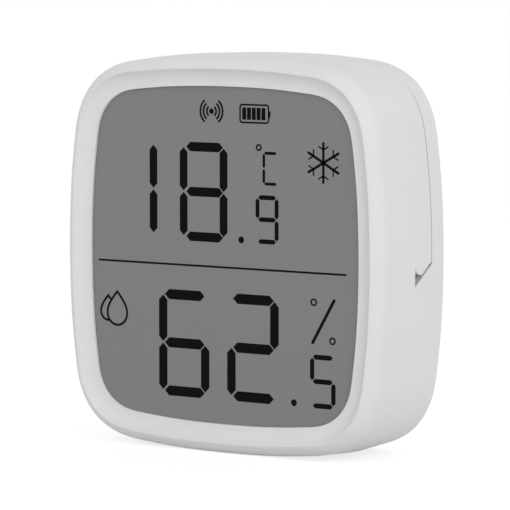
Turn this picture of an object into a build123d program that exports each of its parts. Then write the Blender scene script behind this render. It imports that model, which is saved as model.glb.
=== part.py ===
from build123d import *

import math
import os

# Desk and wall sensor for temperature and humidity, in millimetres.
#
# A shallow white box with a squircle outline stands on its lower edge. Its front housing is a lip round
# a large reflective display, its rear housing carries the board and a coin cell, and a rear cover pulls
# straight off the back. X is to the right as the display is read, Y runs from the display to the back,
# Z is up. The origin is on the standing plane, under the middle of the body.

# Body outline: slow arcs on all four sides, joined by tight corner arcs
body_width = 57.5
outline_height = 59.5
body_depth = 18.5
side_radius = 157.6
end_radius = 203.3
corner_radius = 13.1
foot_cut = 0.45

# Front housing: depths run back from the crest of the lip, insets run in from the outline
crest_inset = 2.1
crest_round = 0.3
lip_edge_inset = 0.4
lip_edge_depth = 2.05
lip_bulge = 0.29
window_inset = 4.72
window_edge_depth = 1.17
window_edge_round = 0.12
window_wall = 0.5
slope_hollow = 0.16
front_wall = 1.8
seam_gap = 0.1
seam_round = 0.15

# Air slots in the floor of the front housing
vent_count = 7
vent_width = 1.2
vent_pitch = 2.4
vent_front_depth = 4.2
vent_back_margin = 1.65

# Display cell: film, front glass, rear glass and mirror film, one behind the other
film_thickness = 0.28
film_border = 0.4
gasket_width = 0.9
gasket_margin = 0.1
glass_thickness = 0.55
glass_border_side = 0.72
glass_border_end = 0.82
glass_border_corner = 0.72
ledge_height = 1.5
mirror_thickness = 0.2
mirror_margin = 0.8

# Display holder behind the glass
holder_clearance = 0.1
holder_rim = 0.7
holder_plate = 1.0
holder_window_side = 11.75
holder_window_end = 12.75
holder_window_radius = 2.0
holder_window_rise_share = 0.37
holder_post_radius = 1.6
holder_pin_radius = 0.6
holder_pin_length = 0.6
holder_pin_setback = 6.55
holder_post_height_share = 0.45

# Conductive strip from the glass ledge to the board
strip_thickness = 1.2
strip_gap = 0.15

# Main board
board_gap = 1.05
board_thickness = 1.0
board_clearance = 0.15
board_hole_clearance = 0.1
island_width = 9.0
island_height = 5.0
island_slot = 0.8
island_neck = 2.4

# Parts soldered to the back of the board
radio_board_size = (15.0, 9.5, 0.8)
radio_can_size = (10.0, 7.5, 1.8)
radio_setback = 15.25
radio_drop = 8.1
can_margin = 0.7
can_wall = 0.2
can_corner_radius = 0.8
driver_size = 8.0
driver_height = 1.2
driver_setback = 16.15
pin_count = 8
pin_length = 0.9
pin_width = 0.35
pin_thickness = 0.2
crystal_size = (3.2, 1.5, 0.9)
crystal_rise = 2.0
chip_size = (0.8, 1.6, 0.7)
chip_count = 5
chip_pitch = 2.0
chip_setback = 5.25
sensor_size = 2.5
sensor_height = 0.9
sensor_port_radius = 0.5
sensor_port_depth = 0.4

# Tactile switch and the pairing button that presses it
button_x = 0.0
button_setback = 11.25
switch_size = 6.2
switch_height = 2.0
plunger_radius = 1.6
plunger_rise = 0.6
plunger_depth = 1.0
plunger_clearance = 0.05
press_travel = 0.3
plunger_spare = 0.3
button_radius = 2.5
button_clearance = 0.08
button_flange_radius = 3.5
button_flange_thickness = 0.6
button_nose_radius = 1.2
button_sink = 0.3
button_edge_round = 0.5
press_gap = 0.03
sleeve_wall = 1.0
sleeve_rise = 1.4
cover_hole_clearance = 0.3

# Coin cell, its well and its two contacts
cell_diameter = 24.5
cell_thickness = 5.0
cell_cap_diameter = 20.6
cell_cap_rise = 0.45
cell_edge_round = 0.5
cell_drop_share = 0.1345
cell_headroom = 0.9
well_clearance = 0.3
well_wall = 1.2
well_floor = 1.0
well_rim_drop = 0.9
cell_lift = 0.45
cell_notch_width = 9.0
cell_notch_sink = 0.5
cell_notch_round = 3.0
contact_thickness = 0.25
contact_width = 3.2
contact_length = 9.0
contact_slot_clearance = 0.2
contact_tail_drop = 6.6
contact_bow = 0.2
side_contact_front_share = 0.15
side_contact_back_share = 0.8
side_contact_bow = 0.6

# Rear housing
deck_thickness = 1.2
rear_draft_angle = 3.87
spigot_reach = 1.75
spigot_clearance = 0.1
spigot_wall = 1.2
ear_wall = 1.5
ear_web = 1.3
snap_pitch = 13.0
snap_length = 6.0
snap_rise = 0.35
snap_setback = 1.2
snap_thickness = 0.7
snap_clearance = 0.12
boss_radius = 2.4
boss_bore_radius = 0.75
boss_bore_depth = 4.5
boss_side_setback = 9.75
boss_end_setback = 9.45

# Screws that hold the board to the rear housing
screw_head_radius = 1.6
screw_head_height = 0.8
screw_shank_radius = 0.7
screw_length = 4.5
screw_hole_radius = 0.95
screw_socket_radius = 0.8
screw_socket_depth = 0.4

# Side view of the joint between ear and cover: a pry notch at mid height
notch_ear_z = -2.05
notch_ear_round = 1.4
slant_top_z = -0.55
slant_bottom_z = -3.7
slant_gap = 0.12

# Rear cover
cover_gap = 0.12
cover_tray_depth = 4.23
cover_wall = 1.55
cover_plate = 1.6
cover_back_round = 2.0
cover_core_inset = 6.0
cover_rib_clearance = 0.08
cover_rib_width = 1.2
cover_rib_shares = (0.42, 0.68)
tab_thickness = 1.2
tab_length = 7.0
tab_reach = 2.0
tab_clearance = 0.15
tab_setback = 7.25
pad_recess_side = 10.75
pad_recess_end = 14.75
pad_recess_radius = 6.0
pad_recess_depth = 0.4
pad_recess_z = -5.0
cell_pad_width = 14.0
cell_pad_height = 10.0
cell_pad_radius = 2.0
cell_pad_gap = 0.2

# Magnets in the rear cover
magnet_radius = 5.0
magnet_thickness = 1.6
magnet_clearance = 0.1
magnet_cup_wall = 0.8
magnet_cup_depth = 1.8
magnet_side_setback = 15.25
magnet_end_setback = 15.75

# Cutting tools run this far past what they cut
overrun = 1.0

# Places that follow from the sizes: across the body
half_width = body_width / 2
half_height = outline_height / 2
centre_z = half_height - foot_cut
rim_inset = front_wall + holder_clearance
spigot_inset = front_wall + spigot_clearance
board_inset = spigot_inset + spigot_wall + board_clearance
holder_pin_x = half_width - holder_pin_setback
holder_window_width = 2 * (half_width - holder_window_side)
holder_window_height = half_height - holder_window_end
holder_window_rise = holder_window_rise_share * half_height
boss_x = half_width - boss_side_setback
boss_z = half_height - boss_end_setback
button_z = half_height - button_setback
radio_x = radio_setback - half_width
radio_z = button_z - radio_drop
driver_x = half_width - driver_setback
cell_z = -cell_drop_share * outline_height
contact_tail_z = cell_z - contact_tail_drop
well_radius = cell_diameter / 2 + well_clearance
tab_x = half_width - tab_setback
tab_z = -cell_z
magnet_x = half_width - magnet_side_setback
magnet_z = half_height - magnet_end_setback

# Places that follow from the sizes: behind the crest
front_y = -body_depth / 2
front_seam_depth = body_depth / 2
skirt_front = front_seam_depth + seam_gap
plate_front = body_depth - cover_plate
cover_front = body_depth - cover_tray_depth
rear_deck_depth = cover_front - cover_gap
deck_front = rear_deck_depth - deck_thickness
spigot_front = front_seam_depth - spigot_reach
snap_depth = front_seam_depth - snap_setback
vent_length = front_seam_depth - vent_front_depth - vent_back_margin
face_depth = window_edge_depth + window_wall
glass_depth = face_depth + film_thickness
rear_glass_depth = glass_depth + glass_thickness
mirror_depth = rear_glass_depth + glass_thickness
holder_depth = mirror_depth + mirror_thickness
holder_back = holder_depth + holder_plate
board_depth = holder_back + board_gap
board_back = board_depth + board_thickness
switch_back = board_back + switch_height
plunger_back = switch_back + plunger_rise
nose_front = plunger_back + press_gap
flange_back = deck_front - press_gap
flange_front = flange_back - button_flange_thickness
cell_back = plate_front - cell_headroom
cell_front = cell_back - cell_thickness
well_floor_depth = cell_front - cell_lift


def corner_centre():
    """Middle of the corner arc that touches a side arc and an end arc from inside."""
    side_x = half_width - side_radius
    end_z = half_height - end_radius
    to_side = side_radius - corner_radius
    to_end = end_radius - corner_radius
    span = math.hypot(side_x, end_z)
    along = (to_side**2 - to_end**2 + span**2) / (2 * span)
    across = math.sqrt(to_side**2 - along**2)
    way_x, way_z = -side_x / span, end_z / span
    return side_x + along * way_x - across * way_z, along * way_z + across * way_x


def outline_wire(inset):
    """The squircle outline, set in from the body's widest outline. It starts at mid height on the right."""
    corner_x, corner_z = corner_centre()
    side_x = half_width - side_radius
    end_z = half_height - end_radius
    side_turn = math.degrees(math.atan2(corner_z, corner_x - side_x))
    end_turn = math.degrees(math.atan2(corner_z - end_z, corner_x))
    corner_turn = end_turn - side_turn
    end_sweep = 2 * (90 - end_turn)
    side, end, corner = side_radius - inset, end_radius - inset, corner_radius - inset
    arcs = [
        CenterArc((side_x, 0), side, 0, side_turn),
        CenterArc((corner_x, corner_z), corner, side_turn, corner_turn),
        CenterArc((0, end_z), end, end_turn, end_sweep),
        CenterArc((-corner_x, corner_z), corner, 180 - end_turn, corner_turn),
        CenterArc((-side_x, 0), side, 180 - side_turn, 2 * side_turn),
        CenterArc((-corner_x, -corner_z), corner, 180 + side_turn, corner_turn),
        CenterArc((0, -end_z), end, 180 + end_turn, end_sweep),
        CenterArc((corner_x, -corner_z), corner, 360 - end_turn, corner_turn),
        CenterArc((side_x, 0), side, 360 - side_turn, side_turn),
    ]
    return Wire(arcs)


def outline(inset):
    """The squircle as a flat face."""
    return Face(outline_wire(inset))


def at_depth(depth):
    """A plane across the body, seen from the front, at a depth behind the crest."""
    return Plane(origin=(0, front_y + depth, centre_z), x_dir=(1, 0, 0), z_dir=(0, -1, 0))


def slab(shape, front, back):
    """A flat shape drawn as seen from the front, given thickness between two depths."""
    return extrude(at_depth(front) * shape, amount=back - front, dir=(0, 1, 0))


def disc(x, z, radius, front, back):
    """A round bar along the depth."""
    return slab(Pos(x, z) * Circle(radius), front, back)


def block(x, z, width, height, front, back):
    """A square-cornered bar along the depth."""
    return slab(Pos(x, z) * Rectangle(width, height), front, back)


def swept_ring(profile):
    """Carries a profile, drawn as inset and depth, round the outline."""
    start = Plane(
        origin=(half_width, front_y, centre_z), x_dir=(-1, 0, 0), z_dir=(0, 0, -1)
    )
    return sweep(start * profile, path=at_depth(0) * outline_wire(0))


def side_prism(face):
    """A prism right across the body from a side view, drawn as depth and height above the ground."""
    flat = Plane(origin=(-body_width, front_y, 0), x_dir=(0, 1, 0), z_dir=(1, 0, 0))
    return extrude(flat * face, amount=2 * body_width)


def foot_tool():
    """What the flat foot takes off the lower edge."""
    return Pos(0, 0, -half_width) * Box(2 * body_width, 2 * body_depth, body_width)


def front_profile():
    """Lip, hollow slope, window wall and side wall of the front housing, as inset and depth."""
    lip_edge = Vector(lip_edge_inset, lip_edge_depth)
    crest = Vector(crest_inset, 0)
    window_edge = Vector(window_inset, window_edge_depth)
    window_back = (window_inset, face_depth)
    root = (front_wall, face_depth)
    inner_seam = (front_wall, front_seam_depth)
    outer_seam = (0, front_seam_depth)
    edges = [
        Line(outer_seam, lip_edge),
        SagittaArc(lip_edge, crest, lip_bulge),
        SagittaArc(crest, window_edge, -slope_hollow),
        Line(window_edge, window_back),
        Line(window_back, root),
        Line(root, inner_seam),
        Line(inner_seam, outer_seam),
    ]
    face = make_face(edges).face()
    for corner, radius in (
        (crest, crest_round),
        (window_edge, window_edge_round),
        (Vector(outer_seam), seam_round),
    ):
        face = face.fillet_2d(radius, [nearest(face, corner)])
    return face


def nearest(face, place):
    """The corner of a flat face that lies nearest to a place."""
    return face.vertices().sort_by(lambda corner: (corner.center() - place).length)[0]


def polygon(*points):
    """A straight-sided flat face."""
    return make_face(Polyline(*points, close=True)).face()


def rectangle_profile(inset, depth, inset_end, depth_end):
    """A square-cornered ring profile, as inset and depth."""
    return polygon((inset, depth), (inset_end, depth), (inset_end, depth_end), (inset, depth_end))


def snap_windows(margin):
    """Blocks that stand where the snap beads are: two on each of the four walls."""
    length = snap_length + 2 * margin
    blocks = []
    for place in (-snap_pitch / 2, snap_pitch / 2):
        blocks.append(block(0, place, 2 * body_width, length, 0, body_depth))
        blocks.append(block(place, 0, length, 2 * outline_height, 0, body_depth))
    return blocks


def snap_ring(rise, front, back):
    """A ring that stands out from the spigot's wall between two depths, cut where the beads are."""
    return swept_ring(rectangle_profile(spigot_inset - rise, front, spigot_inset, back))


def front_housing():
    """Moulded lip and side wall, with air slots in its floor and pockets for the snap beads."""
    shell = swept_ring(front_profile()) - foot_tool()
    for number in range(vent_count):
        x = (number - (vent_count - 1) / 2) * vent_pitch
        y = front_y + vent_front_depth + vent_length / 2
        slot = Plane(origin=(x, y, -overrun)) * SlotOverall(vent_length, vent_width, rotation=90)
        shell -= extrude(slot, amount=front_wall + 2 * overrun)
    pocket_rise = snap_rise + snap_clearance
    pockets = snap_ring(
        pocket_rise, snap_depth - snap_clearance, snap_depth + snap_thickness + snap_clearance
    )
    for window in snap_windows(snap_clearance):
        shell -= pockets & window
    return shell


def glass_face(shrink, top_drop):
    """Glass cut straight on all sides, with snipped corners that clear the round window corners."""
    corner_x, corner_z = corner_centre()
    right = half_width - window_inset + glass_border_side - shrink
    top = half_height - window_inset + glass_border_end - shrink
    reach = corner_radius - window_inset + glass_border_corner - shrink
    snip = right + top - corner_x - corner_z - reach * math.sqrt(2)
    plate = chamfer(Rectangle(2 * right, 2 * top).vertices(), snip)
    return plate - Pos(0, top) * Rectangle(2 * right, 2 * top_drop)


def display_film():
    """Front polarising film, the grey face that shows in the window."""
    return slab(outline(window_inset - film_border), face_depth, glass_depth)


def display_gasket():
    """Foam ring between the lip and the glass, outside the film."""
    inner = window_inset - film_border - gasket_margin
    return slab(outline(inner - gasket_width), face_depth, glass_depth) - slab(
        outline(inner), face_depth - overrun, glass_depth + overrun
    )


def display_front_glass():
    """Front glass, with the ledge that carries the contact pads along its upper edge."""
    return slab(glass_face(0, 0), glass_depth, rear_glass_depth)


def display_rear_glass():
    """Rear glass, which stops short of the ledge."""
    return slab(glass_face(0, ledge_height), rear_glass_depth, mirror_depth)


def display_mirror():
    """Mirror film on the back of the rear glass."""
    return slab(glass_face(mirror_margin, ledge_height), mirror_depth, holder_depth)


def group(shapes):
    """Separate solids that share one node."""
    return Compound([solid for shape in shapes for solid in shape.solids()])


def holder_posts():
    """Places of the posts and pins that seat the board on the display holder."""
    z = half_height * holder_post_height_share
    return [(x, height) for x in (-holder_pin_x, holder_pin_x) for height in (-z, z)]


def strip_z():
    """Middle of the conductive strip, just inside the upper edge of the front glass."""
    glass_top = half_height - window_inset + glass_border_end
    return glass_top - strip_gap - strip_thickness / 2


def display_holder():
    """Frame that presses the glass forward and spaces the board behind it."""
    rim = rectangle_profile(rim_inset, glass_depth, rim_inset + holder_rim, holder_back)
    frame = slab(outline(rim_inset), holder_depth, holder_back) + swept_ring(rim)
    window = RectangleRounded(holder_window_width, holder_window_height, holder_window_radius)
    for z in (-holder_window_rise, holder_window_rise):
        frame -= slab(Pos(0, z) * window, holder_depth - overrun, holder_back + overrun)
    frame -= block(
        0,
        strip_z(),
        holder_window_width + 2 * strip_gap,
        strip_thickness + strip_gap,
        holder_depth - overrun,
        holder_back + overrun,
    )
    for x, z in holder_posts():
        frame += disc(x, z, holder_post_radius, holder_back, board_depth)
        frame += disc(x, z, holder_pin_radius, board_depth, board_back + holder_pin_length)
    return frame


def display_strip():
    """Conductive rubber strip from the glass ledge to the board."""
    return block(0, strip_z(), holder_window_width, strip_thickness, rear_glass_depth, board_depth)


def boss_places():
    """Where the four board screws stand."""
    return [(x, z) for x in (-boss_x, boss_x) for z in (-boss_z, boss_z)]


def main_board():
    """Board with its screw holes, pin holes and the slotted-off island that carries the sensor."""
    plate = outline(board_inset)
    for x, z in boss_places():
        plate -= Pos(x, z) * Circle(screw_hole_radius)
    for x, z in holder_posts():
        plate -= Pos(x, z) * Circle(holder_pin_radius + board_hole_clearance)
    top = board_inset - half_height + island_height
    side = (island_width + island_slot) / 2
    for way in (-1, 1):
        plate -= Pos(way * side, top - island_height / 2) * Rectangle(
            island_slot, island_height + 2 * board_inset
        )
        length = side - island_neck / 2
        plate -= Pos(way * (side - length / 2), top) * Rectangle(length, island_slot)
    return slab(plate, board_depth, board_back)


def radio_board():
    """Small radio module board."""
    width, height, thickness = radio_board_size
    return block(radio_x, radio_z, width, height, board_back, board_back + thickness)


def radio_can():
    """Pressed metal can over the radio chip, open towards its board."""
    width, height, thickness = radio_can_size
    front = board_back + radio_board_size[2]
    x = radio_x + (radio_board_size[0] - width) / 2 - can_margin
    place = Pos(x, radio_z)
    outer = RectangleRounded(width, height, can_corner_radius)
    inner = offset(outer, -can_wall)
    can = slab(place * outer, front, front + thickness)
    return can - slab(place * inner, front - overrun, front + thickness - can_wall)


def display_driver():
    """Square chip with flat pins on all four sides, which drives the display."""
    body = Rectangle(driver_size, driver_size)
    pin = Rectangle(pin_length + pin_thickness, pin_width)
    reach = (driver_size + pin_length - pin_thickness) / 2
    pitch = driver_size / (pin_count + 1)
    places = [(number - (pin_count - 1) / 2) * pitch for number in range(pin_count)]
    place = Pos(driver_x, radio_z)
    chip = slab(place * body, board_back + pin_thickness, board_back + driver_height)
    for turn in (0, 90, 180, 270):
        for along in places:
            flat = place * Rot(0, 0, turn) * Pos(reach, along) * pin
            chip += slab(flat, board_back, board_back + 2 * pin_thickness)
    return chip


def crystal():
    """Clock crystal."""
    width, height, thickness = crystal_size
    z = button_z + crystal_rise
    return block(driver_x, z, width, height, board_back, board_back + thickness)


def chip_capacitors():
    """A row of small capacitors above the switch."""
    width, height, thickness = chip_size
    chips = []
    for number in range(chip_count):
        x = button_x + (number - (chip_count - 1) / 2) * chip_pitch
        z = half_height - chip_setback
        chips.append(block(x, z, width, height, board_back, board_back + thickness))
    return group(chips)


def sensor_chip():
    """Temperature and humidity sensor, with its air port, on the board's island."""
    z = board_inset - half_height + island_height / 2
    back = board_back + sensor_height
    chip = block(0, z, sensor_size, sensor_size, board_back, back)
    return chip - disc(0, z, sensor_port_radius, back - sensor_port_depth, back + overrun)


def tact_switch():
    """Switch body, bored for its plunger."""
    bore_front = switch_back - plunger_depth - press_travel - plunger_spare
    body = block(button_x, button_z, switch_size, switch_size, board_back, switch_back)
    bore = plunger_radius + plunger_clearance
    return body - disc(button_x, button_z, bore, bore_front, switch_back + overrun)


def switch_plunger():
    """The switch's own plunger, which the button pushes in."""
    return disc(button_x, button_z, plunger_radius, switch_back - plunger_depth, plunger_back)


def pairing_button():
    """Long button: a nose on the plunger, a flange that keeps it in, and a shank out to the back."""
    back = body_depth - button_sink
    shank = disc(button_x, button_z, button_radius, flange_back - press_gap, back)
    shank = fillet(shank.faces().sort_by(Axis.Y)[-1].edges(), button_edge_round)
    flange = disc(button_x, button_z, button_flange_radius, flange_front, flange_back)
    nose = disc(button_x, button_z, button_nose_radius, nose_front, flange_back)
    return shank + flange + nose


def rear_inset(depth):
    """How far the rear half's outer face has drawn in at a depth behind the seam."""
    return (depth - front_seam_depth) * math.tan(math.radians(rear_draft_angle))


def drafted(inset, front, back):
    """A tapering block of the rear half, set in from its outer face by an even amount."""
    faces = [at_depth(depth) * outline(inset + rear_inset(depth)) for depth in (front, back)]
    return loft(faces, ruled=True)


def drafted_rim(front, back):
    """A tapering block of the full outline, its front and back edges broken by a small bevel."""
    stages = [
        (front, seam_round),
        (front + seam_round, 0),
        (back - seam_round, 0),
        (back, seam_round),
    ]
    faces = [at_depth(depth) * outline(rear_inset(depth) + inset) for depth, inset in stages]
    return loft(faces, ruled=True)


def slant(depth, lift):
    """Height of the slanted joint line at a depth, lifted square off it."""
    run = cover_front - skirt_front
    rise = slant_top_z - slant_bottom_z
    square = lift * math.hypot(run, rise) / run
    return centre_z + slant_top_z - (cover_front - depth) * rise / run + square


def slant_depth(z, lift):
    """Depth at which the lifted slanted line passes a height over the middle."""
    run = cover_front - skirt_front
    rise = slant_top_z - slant_bottom_z
    return cover_front - (slant_top_z - z + lift * math.hypot(run, rise) / run) * run / rise


def ear_view(front, margin):
    """Side view of the ears: full height above, and below a level edge and then the slanted one."""
    back = rear_deck_depth + overrun
    top = centre_z + outline_height
    low = notch_ear_z + margin
    lift = slant_gap + margin
    return polygon(
        (front, top),
        (front, centre_z + low),
        (slant_depth(low, lift), centre_z + low),
        (back, slant(back, lift)),
        (back, top),
    )


def well_contact_slots():
    """Slots in the well for the two contacts' tails."""
    width = contact_width + 2 * contact_slot_clearance
    rim = cell_z + cell_diameter / 2
    tall = well_clearance + well_wall + contact_slot_clearance
    side_slot = block(0, rim + tall / 2, width, tall, 0, body_depth)
    floor_slot = block(
        0,
        contact_tail_z + contact_thickness / 2,
        width,
        contact_thickness + 2 * contact_slot_clearance,
        0,
        well_floor_depth + overrun,
    )
    return side_slot + floor_slot


def rear_shell():
    """Spigot that plugs into the front housing, the ears beside it and the deck behind."""
    ears = ear_view(skirt_front, 0)
    ear_corner = Vector(skirt_front, centre_z + notch_ear_z)
    ears = ears.fillet_2d(notch_ear_round, [nearest(ears, ear_corner)])
    shell = slab(outline(spigot_inset), spigot_front, front_seam_depth)
    shell += drafted(spigot_inset, front_seam_depth, rear_deck_depth)
    shell += drafted_rim(skirt_front, rear_deck_depth) & side_prism(ears)
    inner = spigot_inset + spigot_wall
    shell -= slab(outline(inner), spigot_front - overrun, front_seam_depth)
    shell -= drafted(inner, front_seam_depth, deck_front)
    ear_hollow = ear_view(skirt_front - overrun, ear_web)
    shell -= drafted(ear_wall, skirt_front + ear_web, deck_front) & side_prism(ear_hollow)
    return shell


def cell_well():
    """Round cup for the coin cell, with a notch in its rim to lift the cell out by."""
    rim = cell_back - well_rim_drop
    cup = disc(0, cell_z, well_radius + well_wall, well_floor_depth - well_floor, rim)
    cup -= disc(0, cell_z, well_radius, well_floor_depth, body_depth)
    return cup


def finger_notch():
    """What the notch beside the cell takes away."""
    notch = RectangleRounded(cell_notch_width, cell_notch_width, cell_notch_round)
    place = Pos(well_radius + well_wall / 2, cell_z)
    return slab(place * notch, rear_deck_depth - cell_notch_sink, body_depth)


def rear_housing():
    """Shell behind the front housing, with cell well, button sleeve, screw bosses and snap beads."""
    shell = rear_shell() - disc(0, cell_z, well_radius, deck_front - overrun, body_depth) + cell_well()
    sleeve = button_radius + button_clearance
    sleeve_back = rear_deck_depth + sleeve_rise
    shell += disc(button_x, button_z, sleeve + sleeve_wall, deck_front, sleeve_back)
    shell -= disc(button_x, button_z, sleeve, deck_front - overrun, body_depth)
    for x, z in boss_places():
        shell += disc(x, z, boss_radius, board_back, rear_deck_depth)
        shell -= disc(x, z, boss_bore_radius, board_back - overrun, board_back + boss_bore_depth)
    shell -= well_contact_slots()
    shell -= finger_notch()
    slot_width = tab_thickness + 2 * tab_clearance
    slot_length = tab_length + 2 * tab_clearance
    for x in (-tab_x, tab_x):
        shell -= block(x, tab_z, slot_width, slot_length, deck_front - overrun, body_depth)
    beads = snap_ring(snap_rise, snap_depth, snap_depth + snap_thickness)
    for window in snap_windows(0):
        shell += beads & window
    return shell


def cover_tray():
    """Upper part of the rear cover: a shallow tray with a rounded back edge."""
    front, edge, back = cover_front, cover_front + seam_round, body_depth
    corner = (rear_inset(back), back)
    profile = polygon(
        (rear_inset(front) + seam_round, front),
        (rear_inset(edge), edge),
        corner,
        (cover_core_inset, back),
        (cover_core_inset, plate_front),
        (cover_wall + rear_inset(plate_front), plate_front),
        (cover_wall + rear_inset(front), front),
    )
    profile = profile.fillet_2d(cover_back_round, [nearest(profile, Vector(corner))])
    return swept_ring(profile) + slab(outline(cover_core_inset), plate_front, back)


def cover_skirt():
    """Lower part of the rear cover: its wall runs on forward below the slanted edge."""
    front, edge, back = skirt_front, skirt_front + seam_round, cover_front + 2 * seam_round
    profile = polygon(
        (rear_inset(front) + seam_round, front),
        (rear_inset(edge), edge),
        (rear_inset(back), back),
        (cover_wall + rear_inset(back), back),
        (cover_wall + rear_inset(front), front),
    )
    start, end = skirt_front - overrun, cover_front
    low = polygon(
        (start, slant(start, 0)),
        (end, slant(end, 0)),
        (body_depth, slant(end, 0)),
        (body_depth, -outline_height),
        (start, -outline_height),
    )
    return swept_ring(profile) & side_prism(low)


def guide_ribs():
    """Ribs inside the skirt that centre the cover on the spigot."""
    front, back = skirt_front + overrun, plate_front
    outer, inner = cover_wall / 2, spigot_inset - cover_rib_clearance
    wall = swept_ring(
        polygon(
            (outer + rear_inset(front), front),
            (inner + rear_inset(front), front),
            (inner + rear_inset(back), back),
            (outer + rear_inset(back), back),
        )
    )
    ribs = []
    for share in cover_rib_shares:
        x, z = share * half_width, -share * half_height
        for way in (-1, 1):
            low = block(way * x, -half_height, cover_rib_width, half_height, front, back)
            side = block(way * half_width, z, half_width, cover_rib_width, front, back)
            ribs += [wall & low, wall & side]
    return ribs


def magnet_places():
    """Where the two magnets sit, left and right of the button."""
    return [(-magnet_x, magnet_z), (magnet_x, magnet_z)]


def rear_cover():
    """Snap-off back: shell, guide ribs and tabs, magnet cups, button hole and pad recess."""
    cover = cover_tray() + cover_skirt() - foot_tool()
    for rib in guide_ribs():
        cover += rib
    for x in (-tab_x, tab_x):
        cover += block(x, tab_z, tab_thickness, tab_length, deck_front - tab_reach, plate_front)
    for x, z in magnet_places():
        cup = magnet_radius + magnet_clearance
        cover += disc(x, z, cup + magnet_cup_wall, plate_front - magnet_cup_depth, plate_front)
        cover -= disc(x, z, cup, plate_front - magnet_cup_depth, plate_front)
    hole = button_radius + cover_hole_clearance
    cover -= disc(button_x, button_z, hole, cover_front, body_depth + overrun)
    width, height = 2 * (half_width - pad_recess_side), 2 * (half_height - pad_recess_end)
    recess = RectangleRounded(width, height, pad_recess_radius)
    cover -= slab(Pos(0, pad_recess_z) * recess, body_depth - pad_recess_depth, body_depth + overrun)
    return cover


def magnets():
    """Two disc magnets glued into the cover's cups."""
    return group(
        [
            disc(x, z, magnet_radius, plate_front - magnet_thickness, plate_front)
            for x, z in magnet_places()
        ]
    )


def cell_pad():
    """Foam pad on the inside of the cover that keeps the cell on its contacts."""
    pad = RectangleRounded(cell_pad_width, cell_pad_height, cell_pad_radius)
    return slab(Pos(0, cell_z) * pad, cell_back + cell_pad_gap, plate_front)


def coin_cell():
    """Coin cell: a can, and towards the display the smaller raised cap of its other pole."""
    can = disc(0, cell_z, cell_diameter / 2, cell_front + cell_cap_rise, cell_back)
    rims = can.edges().filter_by(GeomType.CIRCLE)
    can = fillet(rims, cell_edge_round)
    return can + disc(0, cell_z, cell_cap_diameter / 2, cell_front, cell_front + 2 * cell_cap_rise)


def leaf(start, end, bow):
    """Side view of a bowed spring strip of even thickness, from start to end."""
    start, end = Vector(start), Vector(end)
    run = (end - start).normalized()
    square = Vector(-run.Y, run.X) * contact_thickness
    return make_face(
        [
            SagittaArc(start, end, bow),
            Line(end, end + square),
            SagittaArc(end + square, start + square, -bow),
            Line(start + square, start),
        ]
    )


def across(face, width):
    """A side view, drawn as depth and height over the middle, made a strip of even width."""
    flat = Plane(
        origin=(-width / 2, front_y, centre_z), x_dir=(0, 1, 0), z_dir=(1, 0, 0)
    )
    return extrude(flat * face, amount=width)


def strip_face(front, low, back, high):
    """Side view of a straight strip between two depths and two heights."""
    middle = Pos((front + back) / 2, (low + high) / 2)
    return middle * Rectangle(back - front, high - low)


def cell_cap_contact():
    """Bowed strip on the well's floor under the cell's cap, with a tail to the board."""
    low, high = contact_tail_z, contact_tail_z + contact_length
    floor = well_floor_depth
    bow = leaf((floor, high), (floor, low), contact_bow)
    tail = strip_face(board_back, low, floor + contact_thickness, low + contact_thickness)
    return across(bow + tail, contact_width)


def cell_can_contact():
    """Bowed strip beside the cell that bears on the rim of its can, with a tail to the board."""
    rim = cell_z + cell_diameter / 2
    front = cell_front + side_contact_front_share * cell_thickness
    back = cell_front + side_contact_back_share * cell_thickness
    foot = rim + side_contact_bow
    bow = leaf((front, foot), (back, foot), -side_contact_bow)
    tail = strip_face(board_back, foot, front + contact_thickness, foot + contact_thickness)
    return across(bow + tail, contact_width)


def board_screws():
    """Four screws, driven from the display side, with a round driver recess in each head."""
    screws = []
    for x, z in boss_places():
        front = board_depth - screw_head_height
        screw = disc(x, z, screw_head_radius, front, board_depth)
        screw += disc(x, z, screw_shank_radius, board_depth, board_depth + screw_length)
        screw -= disc(x, z, screw_socket_radius, front - overrun, front + screw_socket_depth)
        screws.append(screw)
    return group(screws)


NODES = {
    "front_housing": front_housing,
    "display_film": display_film,
    "display_gasket": display_gasket,
    "display_front_glass": display_front_glass,
    "display_rear_glass": display_rear_glass,
    "display_mirror": display_mirror,
    "display_holder": display_holder,
    "display_strip": display_strip,
    "main_board": main_board,
    "board_screws": board_screws,
    "radio_board": radio_board,
    "radio_can": radio_can,
    "display_driver": display_driver,
    "crystal": crystal,
    "chip_capacitors": chip_capacitors,
    "sensor_chip": sensor_chip,
    "tact_switch": tact_switch,
    "switch_plunger": switch_plunger,
    "pairing_button": pairing_button,
    "rear_housing": rear_housing,
    "coin_cell": coin_cell,
    "cell_cap_contact": cell_cap_contact,
    "cell_can_contact": cell_can_contact,
    "rear_cover": rear_cover,
    "magnets": magnets,
    "cell_pad": cell_pad,
}

os.makedirs("parts", exist_ok=True)
for name, build in NODES.items():
    export_step(build(), f"parts/{name}.step")
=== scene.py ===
import math

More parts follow.
